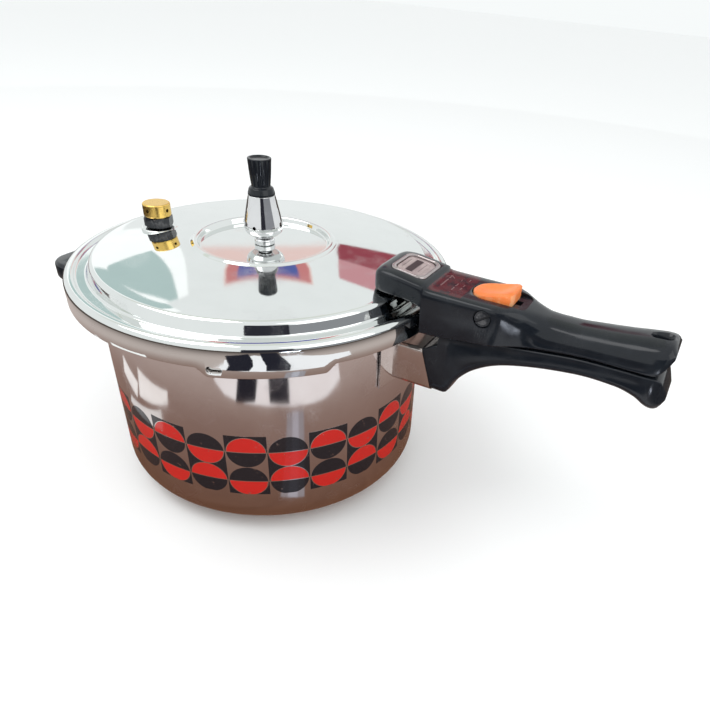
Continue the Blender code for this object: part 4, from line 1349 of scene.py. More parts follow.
@dataclass
class Pot:
    """Drawn pot with a rounded foot, rim flange and bayonet lugs, on its bonded base disc."""

    rim: Rim
    wall: float = 2 * MM
    corner: float = 18 * MM
    lug_lip: float = 2 * MM
    clearance: float = 0.4 * MM

    def build(self) -> None:
        """Makes the pot and its base disc."""
        low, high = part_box("pot_body")
        out = self.rim.pot_radius
        lug_top = high.z
        flange_low = lug_top - self.wall
        lip_low = flange_low - 2.4 * MM
        flange = self.rim.lid_radius - self.rim.hook_reach - 1.5 * self.clearance
        corners = [
            (0, low.z + self.wall),
            (out - self.wall, low.z + self.wall, self.corner - self.wall),
            (out - self.wall, lug_top - 0.01 * MM, 1.2 * MM),
            (flange, lug_top - 0.01 * MM, 1.0 * MM),
            (flange, lip_low, 0.5 * MM),
            (flange - self.wall, lip_low, 0.5 * MM),
            (flange - self.wall, flange_low, 0.5 * MM),
            (out, flange_low, 1.5 * MM),
            (out, low.z, self.corner),
            (0, low.z),
        ]
        pot = turned("pot", rounded(corners, 12), 240)
        lug_low = self.rim.z - self.rim.hook_drop + self.rim.sheet + self.clearance
        lug_out = self.rim.lid_radius - self.rim.sheet - 3 * self.clearance
        root = flange - self.wall / 2
        top = lug_top - 0.12 * MM
        lug = rounded(
            [
                (root, top),
                (lug_out, top, 1.2 * MM),
                (lug_out, lug_low, 0.4 * MM),
                (lug_out - self.lug_lip, lug_low, 0.4 * MM),
                (lug_out - self.lug_lip, flange_low, 0.6 * MM),
                (root, flange_low),
            ],
            4,
        )
        tabs = []
        for i in range(self.rim.tabs):
            start = self.rim.first_tab - self.rim.tab_span / 2 + 360 / self.rim.tabs * i
            rings = []
            for k in range(25):
                angle = math.radians(start + self.rim.tab_span * k / 24)
                rings.append([(r * math.cos(angle), r * math.sin(angle), z) for r, z in lug])
            tabs.append(lofted(f"tab_{i}", rings))
        merge(pot, tabs, Merge.JOIN)
        dress(pot, POT_STEEL, Body.POT, "pot_body")
        disc_low, disc_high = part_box("base_disc")
        disc = rounded(
            [
                (0, disc_low.z),
                (disc_high.x, disc_low.z, 1.2 * MM),
                (disc_high.x, disc_high.z, 0.6 * MM),
                (0, disc_high.z),
            ]
        )
        dress(turned("heat_disc", disc, 200), PLAIN_STEEL, Body.POT, "base_disc")


@dataclass
class HelperHandle:
    """Small ear handle opposite the long ones, on a curved plate, held by two screws."""

    rim: Rim
    bar: float = 15 * MM
    arm: float = 14.5 * MM
    root: float = 118 * MM
    plate_sheet: float = 1.5 * MM
    gap: float = 0.3 * MM

    def build(self) -> None:
        """Makes the ear, its plate and its screws."""
        low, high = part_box("helper_handle")
        reach = -low.x
        half = high.y
        wall = self.rim.pot_radius + 2 * self.gap + self.plate_sheet
        edge = math.degrees(math.asin((half - 0.2 * MM) / wall))
        near = arc(0, 0, wall, 180 + edge, 180 - edge, 24)
        outline = [*near, *rounded_end(-reach, half)]
        ear = extruded("ear", outline, low.z, high.z)
        inner = half - self.arm
        bar_x = -reach + self.bar
        hole = rounded(
            [
                (-self.root, -inner, 3 * MM),
                (-self.root, inner, 3 * MM),
                (bar_x, inner, 8 * MM),
                (bar_x, -inner, 8 * MM),
            ],
            8,
        )
        merge(ear, [extruded("finger_hole", hole, low.z - MM, high.z + MM)], Merge.CUT)
        softened(ear, 2.6 * MM, 6, 50)
        dress(ear, BLACK, Body.POT, "helper_handle")
        plate_low, plate_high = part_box("helper_plate")
        inside = self.rim.pot_radius + self.gap
        span = [180 + 22 * (k / 16 - 1) for k in range(33)]
        section = rounded(
            [
                (inside, plate_low.z),
                (inside + self.plate_sheet, plate_low.z, 0.7 * MM),
                (inside + self.plate_sheet, plate_high.z, 0.7 * MM),
                (inside, plate_high.z),
            ],
            4,
        )
        rings = [
            [(r * math.cos(math.radians(a)), r * math.sin(math.radians(a)), z) for r, z in section]
            for a in span
        ]
        plate = lofted("ear_plate", rings)
        dress(plate, PLAIN_STEEL, Body.POT, "helper_plate")
        for side in ("left", "right"):
            node = f"helper_screw_{side}"
            screw_low, screw_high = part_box(node)
            y = (screw_low.y + screw_high.y) / 2
            z = (screw_low.z + screw_high.z) / 2
            length = screw_high.x - screw_low.x
            profile = rounded([(0, 0), (2 * MM, 0), (2 * MM, length - 2.2 * MM), (4 * MM, length - 2.2 * MM),
                               (4 * MM, length - MM, 0.3 * MM), (3 * MM, length, 1.2 * MM), (0, length)], 4)
            screw = turned(node + "_fine", profile, 40)
            slot = block("slot", (-0.5 * MM, -5 * MM, length - 0.9 * MM), (0.5 * MM, 5 * MM, length + MM))
            merge(screw, [slot], Merge.CUT)
            moved(screw, turn(-90, "Y"), shift(screw_high.x, y, z))
            dress(screw, SMALL_STEEL, Body.POT, node)


def rounded_end(x: float, half: float) -> list[Flat]:
    """Outer outline of the ear from its upper root round the far corners to its lower root.

    Args:
        x: How far out the end is.
        half: Half the width of the ear.

    Returns:
        The outline.
    """
    corner = 15 * MM
    out = arc(x + corner, half - corner, corner, 90, 180, 14)
    return out + arc(x + corner, -half + corner, corner, 180, 270, 14)


# ------------------------------------------------------------------ regulator and valve


@dataclass
class Regulator:
    """Vent pipe with its nut, and the loose weight with its fluted knob."""

    rim: Rim
    flutes: int = 14
    flute_depth: float = 0.42 * MM
    bore: float = 4.3 * MM
    holes: int = 4

    def build(self) -> None:
        """Makes the five pieces on the lid's axis."""
        self.pipe()
        self.weight()
        self.knob()
        repaint("vent_nut", SMALL_STEEL)
        repaint("weight_stud", SMALL_STEEL)

    def pipe(self) -> None:
        """Makes the pipe with its round collar."""
        low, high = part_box("vent_pipe")
        foot = self.rim.z + 13 * MM
        profile = rounded(
            [
                (1.3 * MM, low.z),
                (4.9 * MM, low.z, 0.3 * MM),
                (4.9 * MM, foot),
                (6.5 * MM, foot, 0.4 * MM),
                (6.5 * MM, foot + 3.7 * MM, 1.7 * MM),
                (3.2 * MM, foot + 3.7 * MM, 0.7 * MM),
                (3.2 * MM, high.z - 1.6 * MM, 0.4 * MM),
                (2.0 * MM, high.z, 0.3 * MM),
                (1.3 * MM, high.z),
            ],
            5,
        )
        dress(turned("vent", profile, 72), CHROME, Body.LID, "vent_pipe")

    def weight(self) -> None:
        """Makes the bell with its groove, its bore and its steam holes."""
        low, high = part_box("weight_body")
        foot = low.z
        seat = self.rim.z + 30.3 * MM
        wide = high.x
        outside = [
            (2.3 * MM, high.z),
            (8.2 * MM, high.z, 0.25 * MM),
            (9.8 * MM, foot + 17.5 * MM, 20 * MM),
            (wide - 0.45 * MM, foot + 9.3 * MM, 8 * MM),
            (wide, foot + 6.9 * MM, 2.5 * MM),
            (wide - 0.05 * MM, foot + 5.0 * MM, 0.3 * MM),
            (wide - 0.55 * MM, foot + 4.7 * MM, 0.15 * MM),
            (wide - 0.25 * MM, foot + 4.3 * MM, 0.3 * MM),
            (wide - 1.0 * MM, foot + 2.2 * MM, 2 * MM),
            (wide - 3.6 * MM, foot, 1.6 * MM),
            (self.bore, foot, 0.4 * MM),
            (self.bore, seat - 1.5 * MM),
            (1.7 * MM, seat + 0.4 * MM),
            (1.7 * MM, seat + 2.4 * MM),
            (2.3 * MM, seat + 2.9 * MM),
        ]
        bell = turned("weight", rounded(outside, 6), 120)
        steel = material_of(CHROME)
        pins = ring_of_pins("steam_holes", self.holes, 9 * MM, 1.1 * MM, 10 * MM, 18, steel)
        moved(pins, turn(-80, "Z"), shift(0, 0, foot + 7.0 * MM))
        merge(bell, [pins], Merge.CUT)
        dress(bell, CHROME, Body.WEIGHT, "weight_body", sharp=math.radians(40))

    def knob(self) -> None:
        """Makes the knob: a shouldered collar and a fluted grip with a hollow top."""
        low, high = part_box("weight_knob")
        foot = low.z
        top = high.z
        line = rounded(
            [
                (2.3 * MM, foot),
                (2.3 * MM, foot + 11 * MM),
                (0, foot + 11 * MM),
                (0, top - 1.2 * MM),
                (5.3 * MM, top - 0.8 * MM, 2 * MM),
                (5.9 * MM, top, 0.35 * MM),
                (7.15 * MM, top, 0.45 * MM),
                (6.55 * MM, foot + 12 * MM, 10 * MM),
                (5.75 * MM, foot + 4.6 * MM, 0.8 * MM),
                (7.3 * MM, foot + 3.7 * MM, 0.7 * MM),
                (8.2 * MM, foot + 0.8 * MM, 0.8 * MM),
                (8.2 * MM, foot),
            ],
            6,
        )

        def fluted(angle: float) -> list[Flat]:
            """Profile at an angle, with the grip's side drawn in at each groove.

            Args:
                angle: Place round the knob, in degrees.

            Returns:
                Pairs of radius and height.
            """
            wave = 0.5 - 0.5 * math.cos(math.radians(angle * self.flutes))
            out = []
            for r, z in line:
                grip = min(1.0, max(0.0, (z - foot - 4.8 * MM) / (2 * MM)))
                grip *= min(1.0, max(0.0, (top - 0.5 * MM - z) / MM)) if r > 5.5 * MM else 0.0
                out.append((r - self.flute_depth * grip * wave**2, z))
            return out

        dress(turned("knob", fluted, 168), BLACK, Body.WEIGHT, "weight_knob", sharp=math.radians(45))


@dataclass
class SafetyValve:
    """Sprung valve: hexagonal body, drilled brass cap, nut under the lid, plunger and spring."""

    holes: int = 4
    cap_radius: float = 8.6 * MM
    cap_height: float = 8.0 * MM
    cap_wall: float = 1.0 * MM
    slim: float = 0.94

    def build(self) -> None:
        """Makes the cap, the body's hexagon and the spring; the nut and the plunger stay as they are."""
        cap_low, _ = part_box("valve_cap")
        x, y, _ = middle_of("valve_cap")
        radius = self.cap_radius
        top = cap_low.z + self.cap_height
        profile = rounded(
            [
                (0, top),
                (radius, top, 0.9 * MM),
                (radius, cap_low.z + 0.7 * MM, 0.2 * MM),
                (radius - 0.35 * MM, cap_low.z, 0.2 * MM),
                (radius - 1.5 * MM, cap_low.z),
                (radius - 1.5 * MM, top - self.cap_wall),
                (0, top - self.cap_wall),
            ],
            5,
        )
        cap = turned("valve_top", profile, 120)
        brass = material_of(BRASS)
        pins = ring_of_pins("cap_holes", self.holes, radius, 1.15 * MM, 6 * MM, 20, brass)
        moved(pins, turn(2, "Z"), shift(0, 0, cap_low.z + 4.2 * MM))
        merge(cap, [pins], Merge.CUT)
        moved(cap, shift(x, y, 0))
        dress(cap, BRASS, Body.LID, "valve_cap", sharp=math.radians(40))
        self.hexagon(x, y, cap_low.z)
        self.spring(x, y)
        repaint("valve_nut", SMALL_STEEL)
        repaint("valve_plunger", BRASS)

    def hexagon(self, x: float, y: float, top: float) -> None:
        """Makes the body: a chamfered hexagon with a stem and a hollow neck.

        Args:
            x: X of its axis.
            y: Y of its axis.
            top: Height of its top.
        """
        low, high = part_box("valve_body")
        flats = (high.y - low.y) * self.slim
        gap = 0.3 * MM
        seat = top - gap - 6.2 * MM
        hexagonal = extruded("valve_base", arc(x, y, flats / math.sqrt(3), 0, 300, 5), seat, top - gap)
        cone = rounded(
            [
                (0, seat),
                (flats / 2 + 0.15 * MM, seat, 0.3 * MM),
                (flats / math.sqrt(3) + 0.3 * MM, seat + 0.9 * MM),
                (flats / math.sqrt(3) + 0.3 * MM, top - gap - 0.9 * MM),
                (flats / 2 + 0.15 * MM, top - gap, 0.3 * MM),
                (0, top - gap),
            ],
            4,
        )
        envelope = turned("chamfer", cone, 96, (x, y))
        modifier = hexagonal.modifiers.new("chamfer", "BOOLEAN")
        modifier.operation = "INTERSECT"
        modifier.solver = "EXACT"
        modifier.object = envelope
        settled(hexagonal)
        bpy.data.objects.remove(envelope)
        stem = extruded("stem", circle(x, y, 4.9 * MM, 40), low.z, seat + MM)
        neck = extruded("neck", circle(x, y, 6.9 * MM, 48), seat + MM, high.z)
        merge(hexagonal, [stem, neck], Merge.JOIN)
        bore = extruded("bore", circle(x, y, 2.7 * MM, 28), low.z - 5 * MM, seat + 30 * MM)
        chamber = extruded("chamber", circle(x, y, 5.1 * MM, 36), seat + 3.2 * MM, seat + 30 * MM)
        merge(hexagonal, [bore, chamber], Merge.CUT)
        dress(hexagonal, BLACK, Body.LID, "valve_body")

    def spring(self, x: float, y: float) -> None:
        """Makes the coil spring.

        Args:
            x: X of its axis.
            y: Y of its axis.
        """
        low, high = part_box("valve_spring")
        wire = 0.4 * MM
        radius = (high.y - low.y) / 2 - wire
        rise = high.z - low.z - 2 * wire
        spring = coil("spring", 5.0, radius, rise, wire, material_of(SMALL_STEEL))
        moved(spring, shift(x, y, low.z + wire))
        dress(spring, SMALL_STEEL, Body.LID, "valve_spring")
        travel = next(j for j in frame["joints"] if j["name"] == "valve_rise")["range_m"][1]
        whole = high.z - low.z
        high.z
        1 - travel / whole
        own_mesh(spring)


# ------------------------------------------------------------------ long handles


def grip_section(
    x: float,
    half: float,
    low: float,
    high: float,
    straight: float,
    power: float,
    upward: bool,
    steps: int = 40,
) -> list[Point]:
    """Section of a handle across X: a flat side with small round edges, the other side fully rounded.

    Args:
        x: Place along the handle.
        half: Half the width.
        low: Lowest point.
        high: Highest point.
        straight: Share of the height over which the sides are straight.
        power: Squareness of the rounded side; 2 is an ellipse.
        upward: True if the rounded side is on top.
        steps: Steps across the rounded side.

    Returns:
        The ring of points.
    """
    level, crown = (low, high) if upward else (high, low)
    side = level + (crown - level) * straight
    edge = min(0.9 * MM, abs(side - level) * 0.45, half * 0.3)
    sign = 1 if crown > level else -1
    corner = arc(half - edge, level + sign * edge, edge, -90 * sign, 0, 4)
    ring = [(x, y, z) for y, z in corner]
    ring.append((x, half, side))
    for i in range(1, steps):
        angle = math.pi * i / steps
        across = math.copysign(abs(math.cos(angle)) ** (2 / power), math.cos(angle))
        up = math.sin(angle) ** (2 / power)
        ring.append((x, half * across, side + (crown - side) * up))
    ring.append((x, -half, side))
    ring += [(x, -y, z) for y, z in reversed(corner)]
    return ring


def spread(first: float, last: float, step: float) -> list[float]:
    """Places from first to last, no further apart than a step."""
    count = max(1, math.ceil((last - first) / step))
    return [first + (last - first) * i / count for i in range(count + 1)]


@dataclass
class LidHandle:
    """Long handle on the lid with its name plate, thumb slide, cross bolt and hidden latch."""

    rim: Rim
    top: Track = Track(
        (
            (88.5, 19.6), (89.3, 21.8), (91, 23.7), (94, 24.7),
            (97.5, 24.8), (117, 22.4), (120.5, 21.8), (122.8, 20.2),
            (124.8, 19.7), (150, 19.5), (170, 19.5), (175, 18.9),
            (181, 17.4), (190, 15.9), (205, 15.7), (218, 16.8),
            (232, 18.4), (245, 20.3), (251, 21.0), (254, 20.8), (256.5, 19.2), (257.5, 17.5),
        )
    )
    under: Track = Track(
        (
            (88.5, 12.4), (90.5, 11.6), (107, 11.2), (121.2, 8.4),
            (121.8, -6.9), (152, -4), (185, -0.5), (217, 3.2),
            (250, 4.6), (252, 5.6), (255, 9.5), (257.5, 14.5),
        )
    )
    half: Track = Track(
        (
            (88.5, 12.5), (89.5, 15), (91.5, 17.4), (94.5, 19.0),
            (99, 19.8), (104, 20), (161, 20), (166, 19.4), (171, 17.7),
            (176, 15.6), (181, 14.1), (188, 13.3), (205, 13.4),
            (232, 14.9), (249, 16), (253, 15.6), (256, 13.6),
            (257.5, 11.5),
        )
    )
    power: Track = Track(
        ((88.5, 5.0), (120, 6.0), (124, 8.0), (160, 8.0), (178, 4.0), (195, 2.6), (257, 2.6))
    )
    straight: Track = Track(
        ((88.5, 0.5), (120, 0.5), (124, 0.6), (163, 0.6), (180, 0.3), (195, 0.12), (257, 0.12))
    )
    hang: float = 248 * MM
    plate_slope: float = 0.122
    hang_radius: float = 2.8 * MM
    slide_corner: float = 4 * MM
    recess_corner: float = 4.4 * MM
    travel: float = 7 * MM

    def build(self) -> None:
        """Makes every piece of the handle."""
        self.body()
        self.badge()
        self.bolt()
        self.slide()
        repaint("lid_handle_cover", BLACK)
        for node in ("lid_handle_bracket", "latch_bar", "latch_screw"):
            repaint(node, SMALL_STEEL)

    def body(self) -> None:
        """Makes the moulded handle and its hollows."""
        z = self.rim.z
        nose = spread(88.5 * MM, 121.2 * MM, 1.1 * MM)
        grip = spread(122.6 * MM, 257.5 * MM, 1.4 * MM)
        places = sorted(set(nose + [121.8 * MM] + grip))
        rings = [
            grip_section(
                x,
                self.half(x),
                z + self.under(x),
                z + self.top(x),
                self.straight(x) / MM,
                self.power(x) / MM,
                True,
            )
            for x in places
        ]
        body = lofted("lid_grip", rings)
        cutters = [self.recess(), self.badge_pocket(), self.hang_slot()]
        cutters.append(block("web_slot", (91.6 * MM, -12.6 * MM, z), (126 * MM, 12.6 * MM, z + 13.4 * MM)))
        for name, first, last, side, low, high in (
            ("cavity", 125, 169, 13.2, -20, 15.7),
            ("cover_seat", 150, 180.3, 13.2, -20, 3),
            ("bar_run", 150, 176, 5.6, 0, 15),
            ("neck_slot", 161.6, 173.4, 2.8, 14, 19),
        ):
            near = (first * MM, -side * MM, z + low * MM)
            cutters.append(block(name, near, (last * MM, side * MM, z + high * MM)))
        bolt = middle_of("handle_bolt")
        for name, radius, low, high in (
            ("bolt_hole", 2.4, -30, 30),
            ("head_pocket", 5.15, -30, -17),
            ("nut_pocket", 5.15, 17, 30),
        ):
            outline = circle(bolt.x, bolt.z, radius * MM, 40)
            cutters.append(extruded(name, outline, low * MM, high * MM, Plane.XZ))
        merge(body, cutters, Merge.CUT)
        dress(body, PANEL_PRINT, Body.LID, "lid_handle", sharp=math.radians(38))

    def teardrop(self, grow: float, behind: float = 0.0) -> list[Flat]:
        """Plan of the thumb slide, narrow at the front; behind lengthens it to the recess.

        Args:
            grow: Gap added all round.
            behind: Length added at the back.

        Returns:
            The plan.
        """
        low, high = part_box("lock_button")
        x0 = low.x - grow
        x1 = high.x + grow + behind
        half = high.y + grow
        front = half
        back = (self.recess_corner if behind else self.slide_corner) + grow
        right = arc(x1 - back, -half + back, back, -90, 0, 10) + arc(x1 - back, half - back, back, 0, 90, 10)
        return right + arc(x0 + front, 0, front, 90, 270, 24)

    def recess(self) -> bpy.types.Object:
        """Cutter for the recess that the slide runs in, flared at the panel.

        Returns:
            The cutter.
        """
        z = self.rim.z
        levels = [(17.5, 0.8), (18.9, 0.8), (19.3, 1.0), (19.6, 1.5), (40, 1.5)]
        rings = [[(x, y, z + h * MM) for x, y in self.teardrop(g * MM, self.travel)] for h, g in levels]
        return lofted("recess", rings)

    def sloped(self, obj: bpy.types.Object) -> bpy.types.Object:
        """Leans a piece of the name plate back with the top of the nose.

        Args:
            obj: A piece of the name plate.

        Returns:
            The same piece.
        """
        k = self.plate_slope
        x0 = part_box("badge_frame")[0].x
        return moved(obj, Matrix(((1, 0, 0, 0), (0, 1, 0, 0), (-k, 0, 1, k * x0), (0, 0, 0, 1))))

    def plate_outline(self, grow: float) -> list[Flat]:
        """Rounded outline of the name plate's frame.

        Args:
            grow: Gap added all round.

        Returns:
            The outline.
        """
        low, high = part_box("badge_frame")
        x0 = low.x - grow
        x1 = high.x + grow
        half = high.y + grow
        corners = ((x0, -half), (x1, -half), (x1, half), (x0, half))
        return rounded([(x, y, 4.5 * MM) for x, y in corners], 8)

    def badge_pocket(self) -> bpy.types.Object:
        """Cutter for the pocket that holds the name plate.

        Returns:
            The cutter.
        """
        low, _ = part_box("badge_frame")
        outline = self.plate_outline(0.3 * MM)
        return self.sloped(extruded("badge_pocket", outline, low.z - 0.3 * MM, low.z + 30 * MM))

    def hang_slot(self) -> bpy.types.Object:
        """Cutter for the hanging slot, flared at both faces.

        Returns:
            The cutter.
        """
        z = self.rim.z
        rings = []
        levels = ((-10, 1.4), (4.4, 1.4), (6, 0.0), (18, 0.0), (19.6, 0.7), (20.8, 1.8), (40, 2.2))
        for height, grow in levels:
            r = self.hang_radius + grow * MM
            outline = arc(self.hang + 2 * MM, 0, r, -90, 90, 12) + arc(self.hang - 2 * MM, 0, r, 90, 270, 12)
            rings.append([(x, y, z + height * MM) for x, y in outline])
        return lofted("hang_slot", rings)

    def badge(self) -> None:
        """Makes the raised frame and the blank plate inside it."""
        low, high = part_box("badge_frame")
        base = low.z
        height = high.z - low.z
        steps = [(0.0, 0.0), (height - 0.9 * MM, 0.0),
                 (height - 0.3 * MM, -0.25), (height, -0.7), (height, -1.2),
                 (height - 0.35 * MM, -1.6), (height - 0.5 * MM, -1.9), (height - 0.35 * MM, -2.15),
                 (height - 0.9 * MM, -2.2), (0.0, -2.2)]
        rings = []
        for rise, grow in steps:
            rings.append([(x, y, base + rise) for x, y in self.plate_outline(grow * MM)])
        ring = lofted("badge_rim", rings, around=True)
        dress(self.sloped(ring), FRAME_METAL, Body.LID, "badge_frame")
        inner_low, inner_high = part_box("badge_plate")
        edge = self.plate_outline(-2.5 * MM)
        middle = (inner_low + inner_high) / 2
        levels = [(1.0, 0.0), (1.0, 0.75), (0.985, 0.95), (0.90, 1.0),
                  (0.80, 1.0), (0.78, 0.82), (0.74, 0.82), (0.72, 1.0)]
        rows = [[(x, y, inner_low.z) for x, y in edge]]
        for scale, rise in levels[1:]:
            top = inner_low.z + (inner_high.z - inner_low.z) * rise
            rows.append([(middle.x + (x - middle.x) * scale, y * scale, top) for x, y in edge])
        rows.append([(middle.x + (x - middle.x) * 0.02, y * 0.02, inner_high.z) for x, y in edge])
        dress(self.sloped(lofted("name_plate", rows)), PLATE, Body.LID, "badge_plate")

    def bolt(self) -> None:
        """Makes the slotted cross bolt and its nut."""
        for node, sign in (("handle_bolt", -1), ("handle_nut", 1)):
            low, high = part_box(node)
            centre = middle_of(node)
            face = low.y if sign < 0 else high.y
            depth = 2.3 * MM
            head = 4.7 * MM
            profile = [(0, 0), (head, 0, 0.5 * MM), (head, depth)]
            if sign < 0:
                profile += [(2 * MM, depth), (2 * MM, high.y - low.y, 0.3 * MM), (0, high.y - low.y)]
            else:
                profile += [(2.3 * MM, depth), (2.3 * MM, 1.4 * MM), (0, 1.4 * MM)]
            piece = turned(node + "_fine", rounded(profile, 4), 56)
            cutters = [block("slot", (-0.65 * MM, -6 * MM, -MM), (0.65 * MM, 6 * MM, 1.0 * MM))]
            if sign < 0:
                floor = 0.25 * MM
                ring = rounded([(3.5 * MM, -MM), (3.9 * MM, -MM), (3.9 * MM, floor), (3.5 * MM, floor)])
                cutters.append(turned("groove", ring, 56))
            merge(piece, cutters, Merge.CUT)
            moved(piece, turn(55, "Z"), turn(90 * sign, "X"), shift(centre.x, face, centre.z))
            dress(piece, BLACK, Body.LID, node)

    def slide(self) -> None:
        """Makes the orange thumb slide with its dished top, on the neck that drives the latch."""
        low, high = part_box("lock_button")
        panel = self.rim.z + 19.5 * MM
        foot = self.rim.z + 17.8 * MM
        outline = self.teardrop(0.0)
        centre_x = low.x + 0.58 * (high.x - low.x)
        length = high.x - low.x

        def height(x: float, y: float, near: float) -> float:
            """Top of the slide; near goes from 1 at its edge to 0 at its middle.

            Args:
                x: Place along the slide.
                y: Place across the slide.
                near: Share of the way from its middle to its edge.

            Returns:
                The height.
            """
            t = min(1.0, max(0.0, (x - low.x) / length))
            ramp = 1.7 * MM + (high.z - panel - 1.7 * MM) * t**1.7
            hollow = math.sin(math.pi * min(1.0, max(0.0, (t - 0.12) / 0.84)))
            scoop = 1.6 * MM * hollow * math.exp(-(((y - 1 * MM) / (6.5 * MM)) ** 2))
            fall = 1.5 * MM * max(0.0, (near - 0.8) / 0.2) ** 2.2
            return panel + ramp - scoop - fall

        rows = [[(x, y, foot) for x, y in outline]]
        shares = [1.0, 0.985, 0.96, 0.92, 0.87, 0.8, 0.7, 0.6, 0.48, 0.36, 0.24, 0.12, 0.02]
        for share in shares:
            ring = [(centre_x + (x - centre_x) * share, y * share) for x, y in outline]
            rows.append([(x, y, height(x, y, share)) for x, y in ring])
        button = lofted("thumb_slide", rows)
        neck = block("neck", (162 * MM, -2.4 * MM, low.z), (166 * MM, 2.4 * MM, foot + 0.8 * MM))
        merge(button, [neck], Merge.JOIN)
        hole = extruded("neck_hole", circle(164 * MM, 0, 1.3 * MM, 16), low.z - MM, low.z + 5 * MM)
        merge(button, [hole], Merge.CUT)
        dress(button, ORANGE, Body.LATCH, "lock_button", sharp=math.radians(50))


@dataclass
class PotHandle:
    """Long handle on the pot, in its stamped steel guard."""

    rim: Rim
    top: Track = Track(
        ((123.1, -19), (131.3, -14.1), (132.4, -13.9), (132.9, -7.3),
         (152, -5.5), (185, -2.0), (217, 1.7), (252, 3.0),
         (254.5, 2.2), (257, -1.5), (259.5, -7))
    )
    under: Track = Track(
        ((123.1, -19), (131.3, -45), (139, -45.7), (141, -43.6), (144.5, -36.5), (155, -26), (174, -17.5),
         (200, -11.8), (222, -9.5), (234, -10), (244, -12.6),
         (250, -16.2), (254, -17.4), (257, -16.4), (259.5, -11))
    )
    half: Track = Track(
        ((123.1, 16), (138, 16), (142, 15.6), (155, 14.4), (175, 13), (200, 13.2), (230, 14.6), (250, 15.5),
         (255, 14.2), (259.5, 9))
    )
    power: Track = Track(((123, 12), (140, 9), (165, 3.2), (259, 2.8)))
    straight: Track = Track(((123, 0.15), (140, 0.15), (165, 0.55), (259, 0.55)))
    guard_half: float = 16 * MM
    guard_sheet: float = 1.2 * MM
    screw_x: float = 117 * MM

    def build(self) -> None:
        """Makes the handle and its guard; the catch plate and the screw stay as they are."""
        self.grip()
        self.guard()
        repaint("catch_plate", SMALL_STEEL)
        repaint("pot_handle_screw", SMALL_STEEL)

    def grip(self) -> None:
        """Makes the moulded handle with its plug and the notch for the latch."""
        z = self.rim.z
        face = spread(123.1 * MM, 131.3 * MM, 1.0 * MM)
        reach = spread(132.9 * MM, 259.5 * MM, 1.4 * MM)
        places = sorted(set(face + [132.4 * MM] + reach))
        rings = []
        for x in places:
            low = z + self.under(x)
            high = max(z + self.top(x), low + 0.6 * MM)
            straight = self.straight(x) / MM
            power = self.power(x) / MM
            rings.append(grip_section(x, self.half(x), low, high, straight, power, False))
        grip = lofted("pot_grip", rings)
        plug = block("plug", (109 * MM, -14.4 * MM, z - 43.4 * MM), (138.8 * MM, 14.4 * MM, z - 20.6 * MM))
        merge(grip, [plug], Merge.JOIN)
        hole = extruded("plug_hole", circle(self.screw_x, 0, 2.4 * MM, 24), z - 45 * MM, z - 28 * MM)
        catch_low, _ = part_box("catch_plate")
        notch = block("notch", (129 * MM, -3.4 * MM, catch_low.z), (140.5 * MM, 3.4 * MM, z))
        merge(grip, [hole, notch], Merge.CUT)
        dress(grip, BLACK, Body.POT, "pot_handle", sharp=math.radians(38))

    def guard(self) -> None:
        """Makes the stamped sleeve and the saddle that is welded to the wall."""
        low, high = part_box("handle_guard")
        z = self.rim.z
        half = self.guard_half
        sheet = self.guard_sheet
        wall = self.rim.pot_radius + 0.3 * MM
        outline = rounded(
            [(-half, z - 45 * MM, 2.2 * MM), (half, z - 45 * MM, 2.2 * MM), (half, z - 19 * MM, 2.2 * MM),
             (-half, z - 19 * MM, 2.2 * MM)], 6
        )
        hollow = rounded(
            [(-half + sheet, z - 45 * MM + sheet, MM), (half - sheet, z - 45 * MM + sheet, MM),
             (half - sheet, z - 19 * MM - sheet, MM), (-half + sheet, z - 19 * MM - sheet, MM)], 4
        )
        sleeve = extruded("guard", outline, 100 * MM, high.x, Plane.YZ)
        front = [(122.8 * MM, z - 19 * MM), (131 * MM, z - 45 * MM),
                 (131 * MM, z - 60 * MM), (160 * MM, z - 60 * MM),
                 (160 * MM, z), (122.8 * MM, z)]
        cutters = [
            extruded("guard_hollow", hollow, 90 * MM, 140 * MM, Plane.YZ),
            extruded("guard_front", front, -30 * MM, 30 * MM, Plane.XZ),
            extruded("guard_wall", circle(0, 0, wall, 240), z - 70 * MM, z),
        ]
        merge(sleeve, cutters, Merge.CUT)
        section = rounded(
            [
                (wall + 0.15 * MM, low.z),
                (wall + 1.4 * MM, low.z, 0.6 * MM),
                (wall + 1.4 * MM, high.z, 0.6 * MM),
                (wall + 0.15 * MM, high.z),
            ],
            4,
        )
        rings = []
        for k in range(31):
            angle = math.radians(k - 15)
            rings.append([(r * math.cos(angle), r * math.sin(angle), h) for r, h in section])
        saddle = lofted("saddle", rings)
        merge(sleeve, [saddle], Merge.JOIN)
        hole = extruded("guard_hole", circle(self.screw_x, 0, 2.4 * MM, 24), z - 47 * MM, z - 43 * MM)
        merge(sleeve, [hole], Merge.CUT)
        dress(sleeve, PLAIN_STEEL, Body.POT, "handle_guard")


# ------------------------------------------------------------------ studio


@dataclass(frozen=True)
class SkyCard:
    """A plain glowing panel far behind the object, given by (azimuth, height) corners in degrees."""

    name: str
    corners: tuple[Flat, ...]
    colour: Colour
    distance: float = 20.0

    def points(self) -> list[Point]:
        """Corners in metres.

        Returns:
            One point for each corner.
        """
        out = []
        for azimuth, height in self.corners:
            a, h = math.radians(azimuth), math.radians(height)
            flat = self.distance * math.cos(h)
            out.append((flat * math.cos(a), flat * math.sin(a), 0.15 + self.distance * math.sin(h)))
        return out


@dataclass(frozen=True)
class FloorCard:
    """A plain glowing patch just over the floor, given by its (x, y) corners in metres."""

    name: str
    corners: tuple[Flat, ...]
    colour: Colour
    height: float = 0.002

    def points(self) -> list[Point]:
        """Corners in metres."""
        return [(x, y, self.height) for x, y in self.corners]


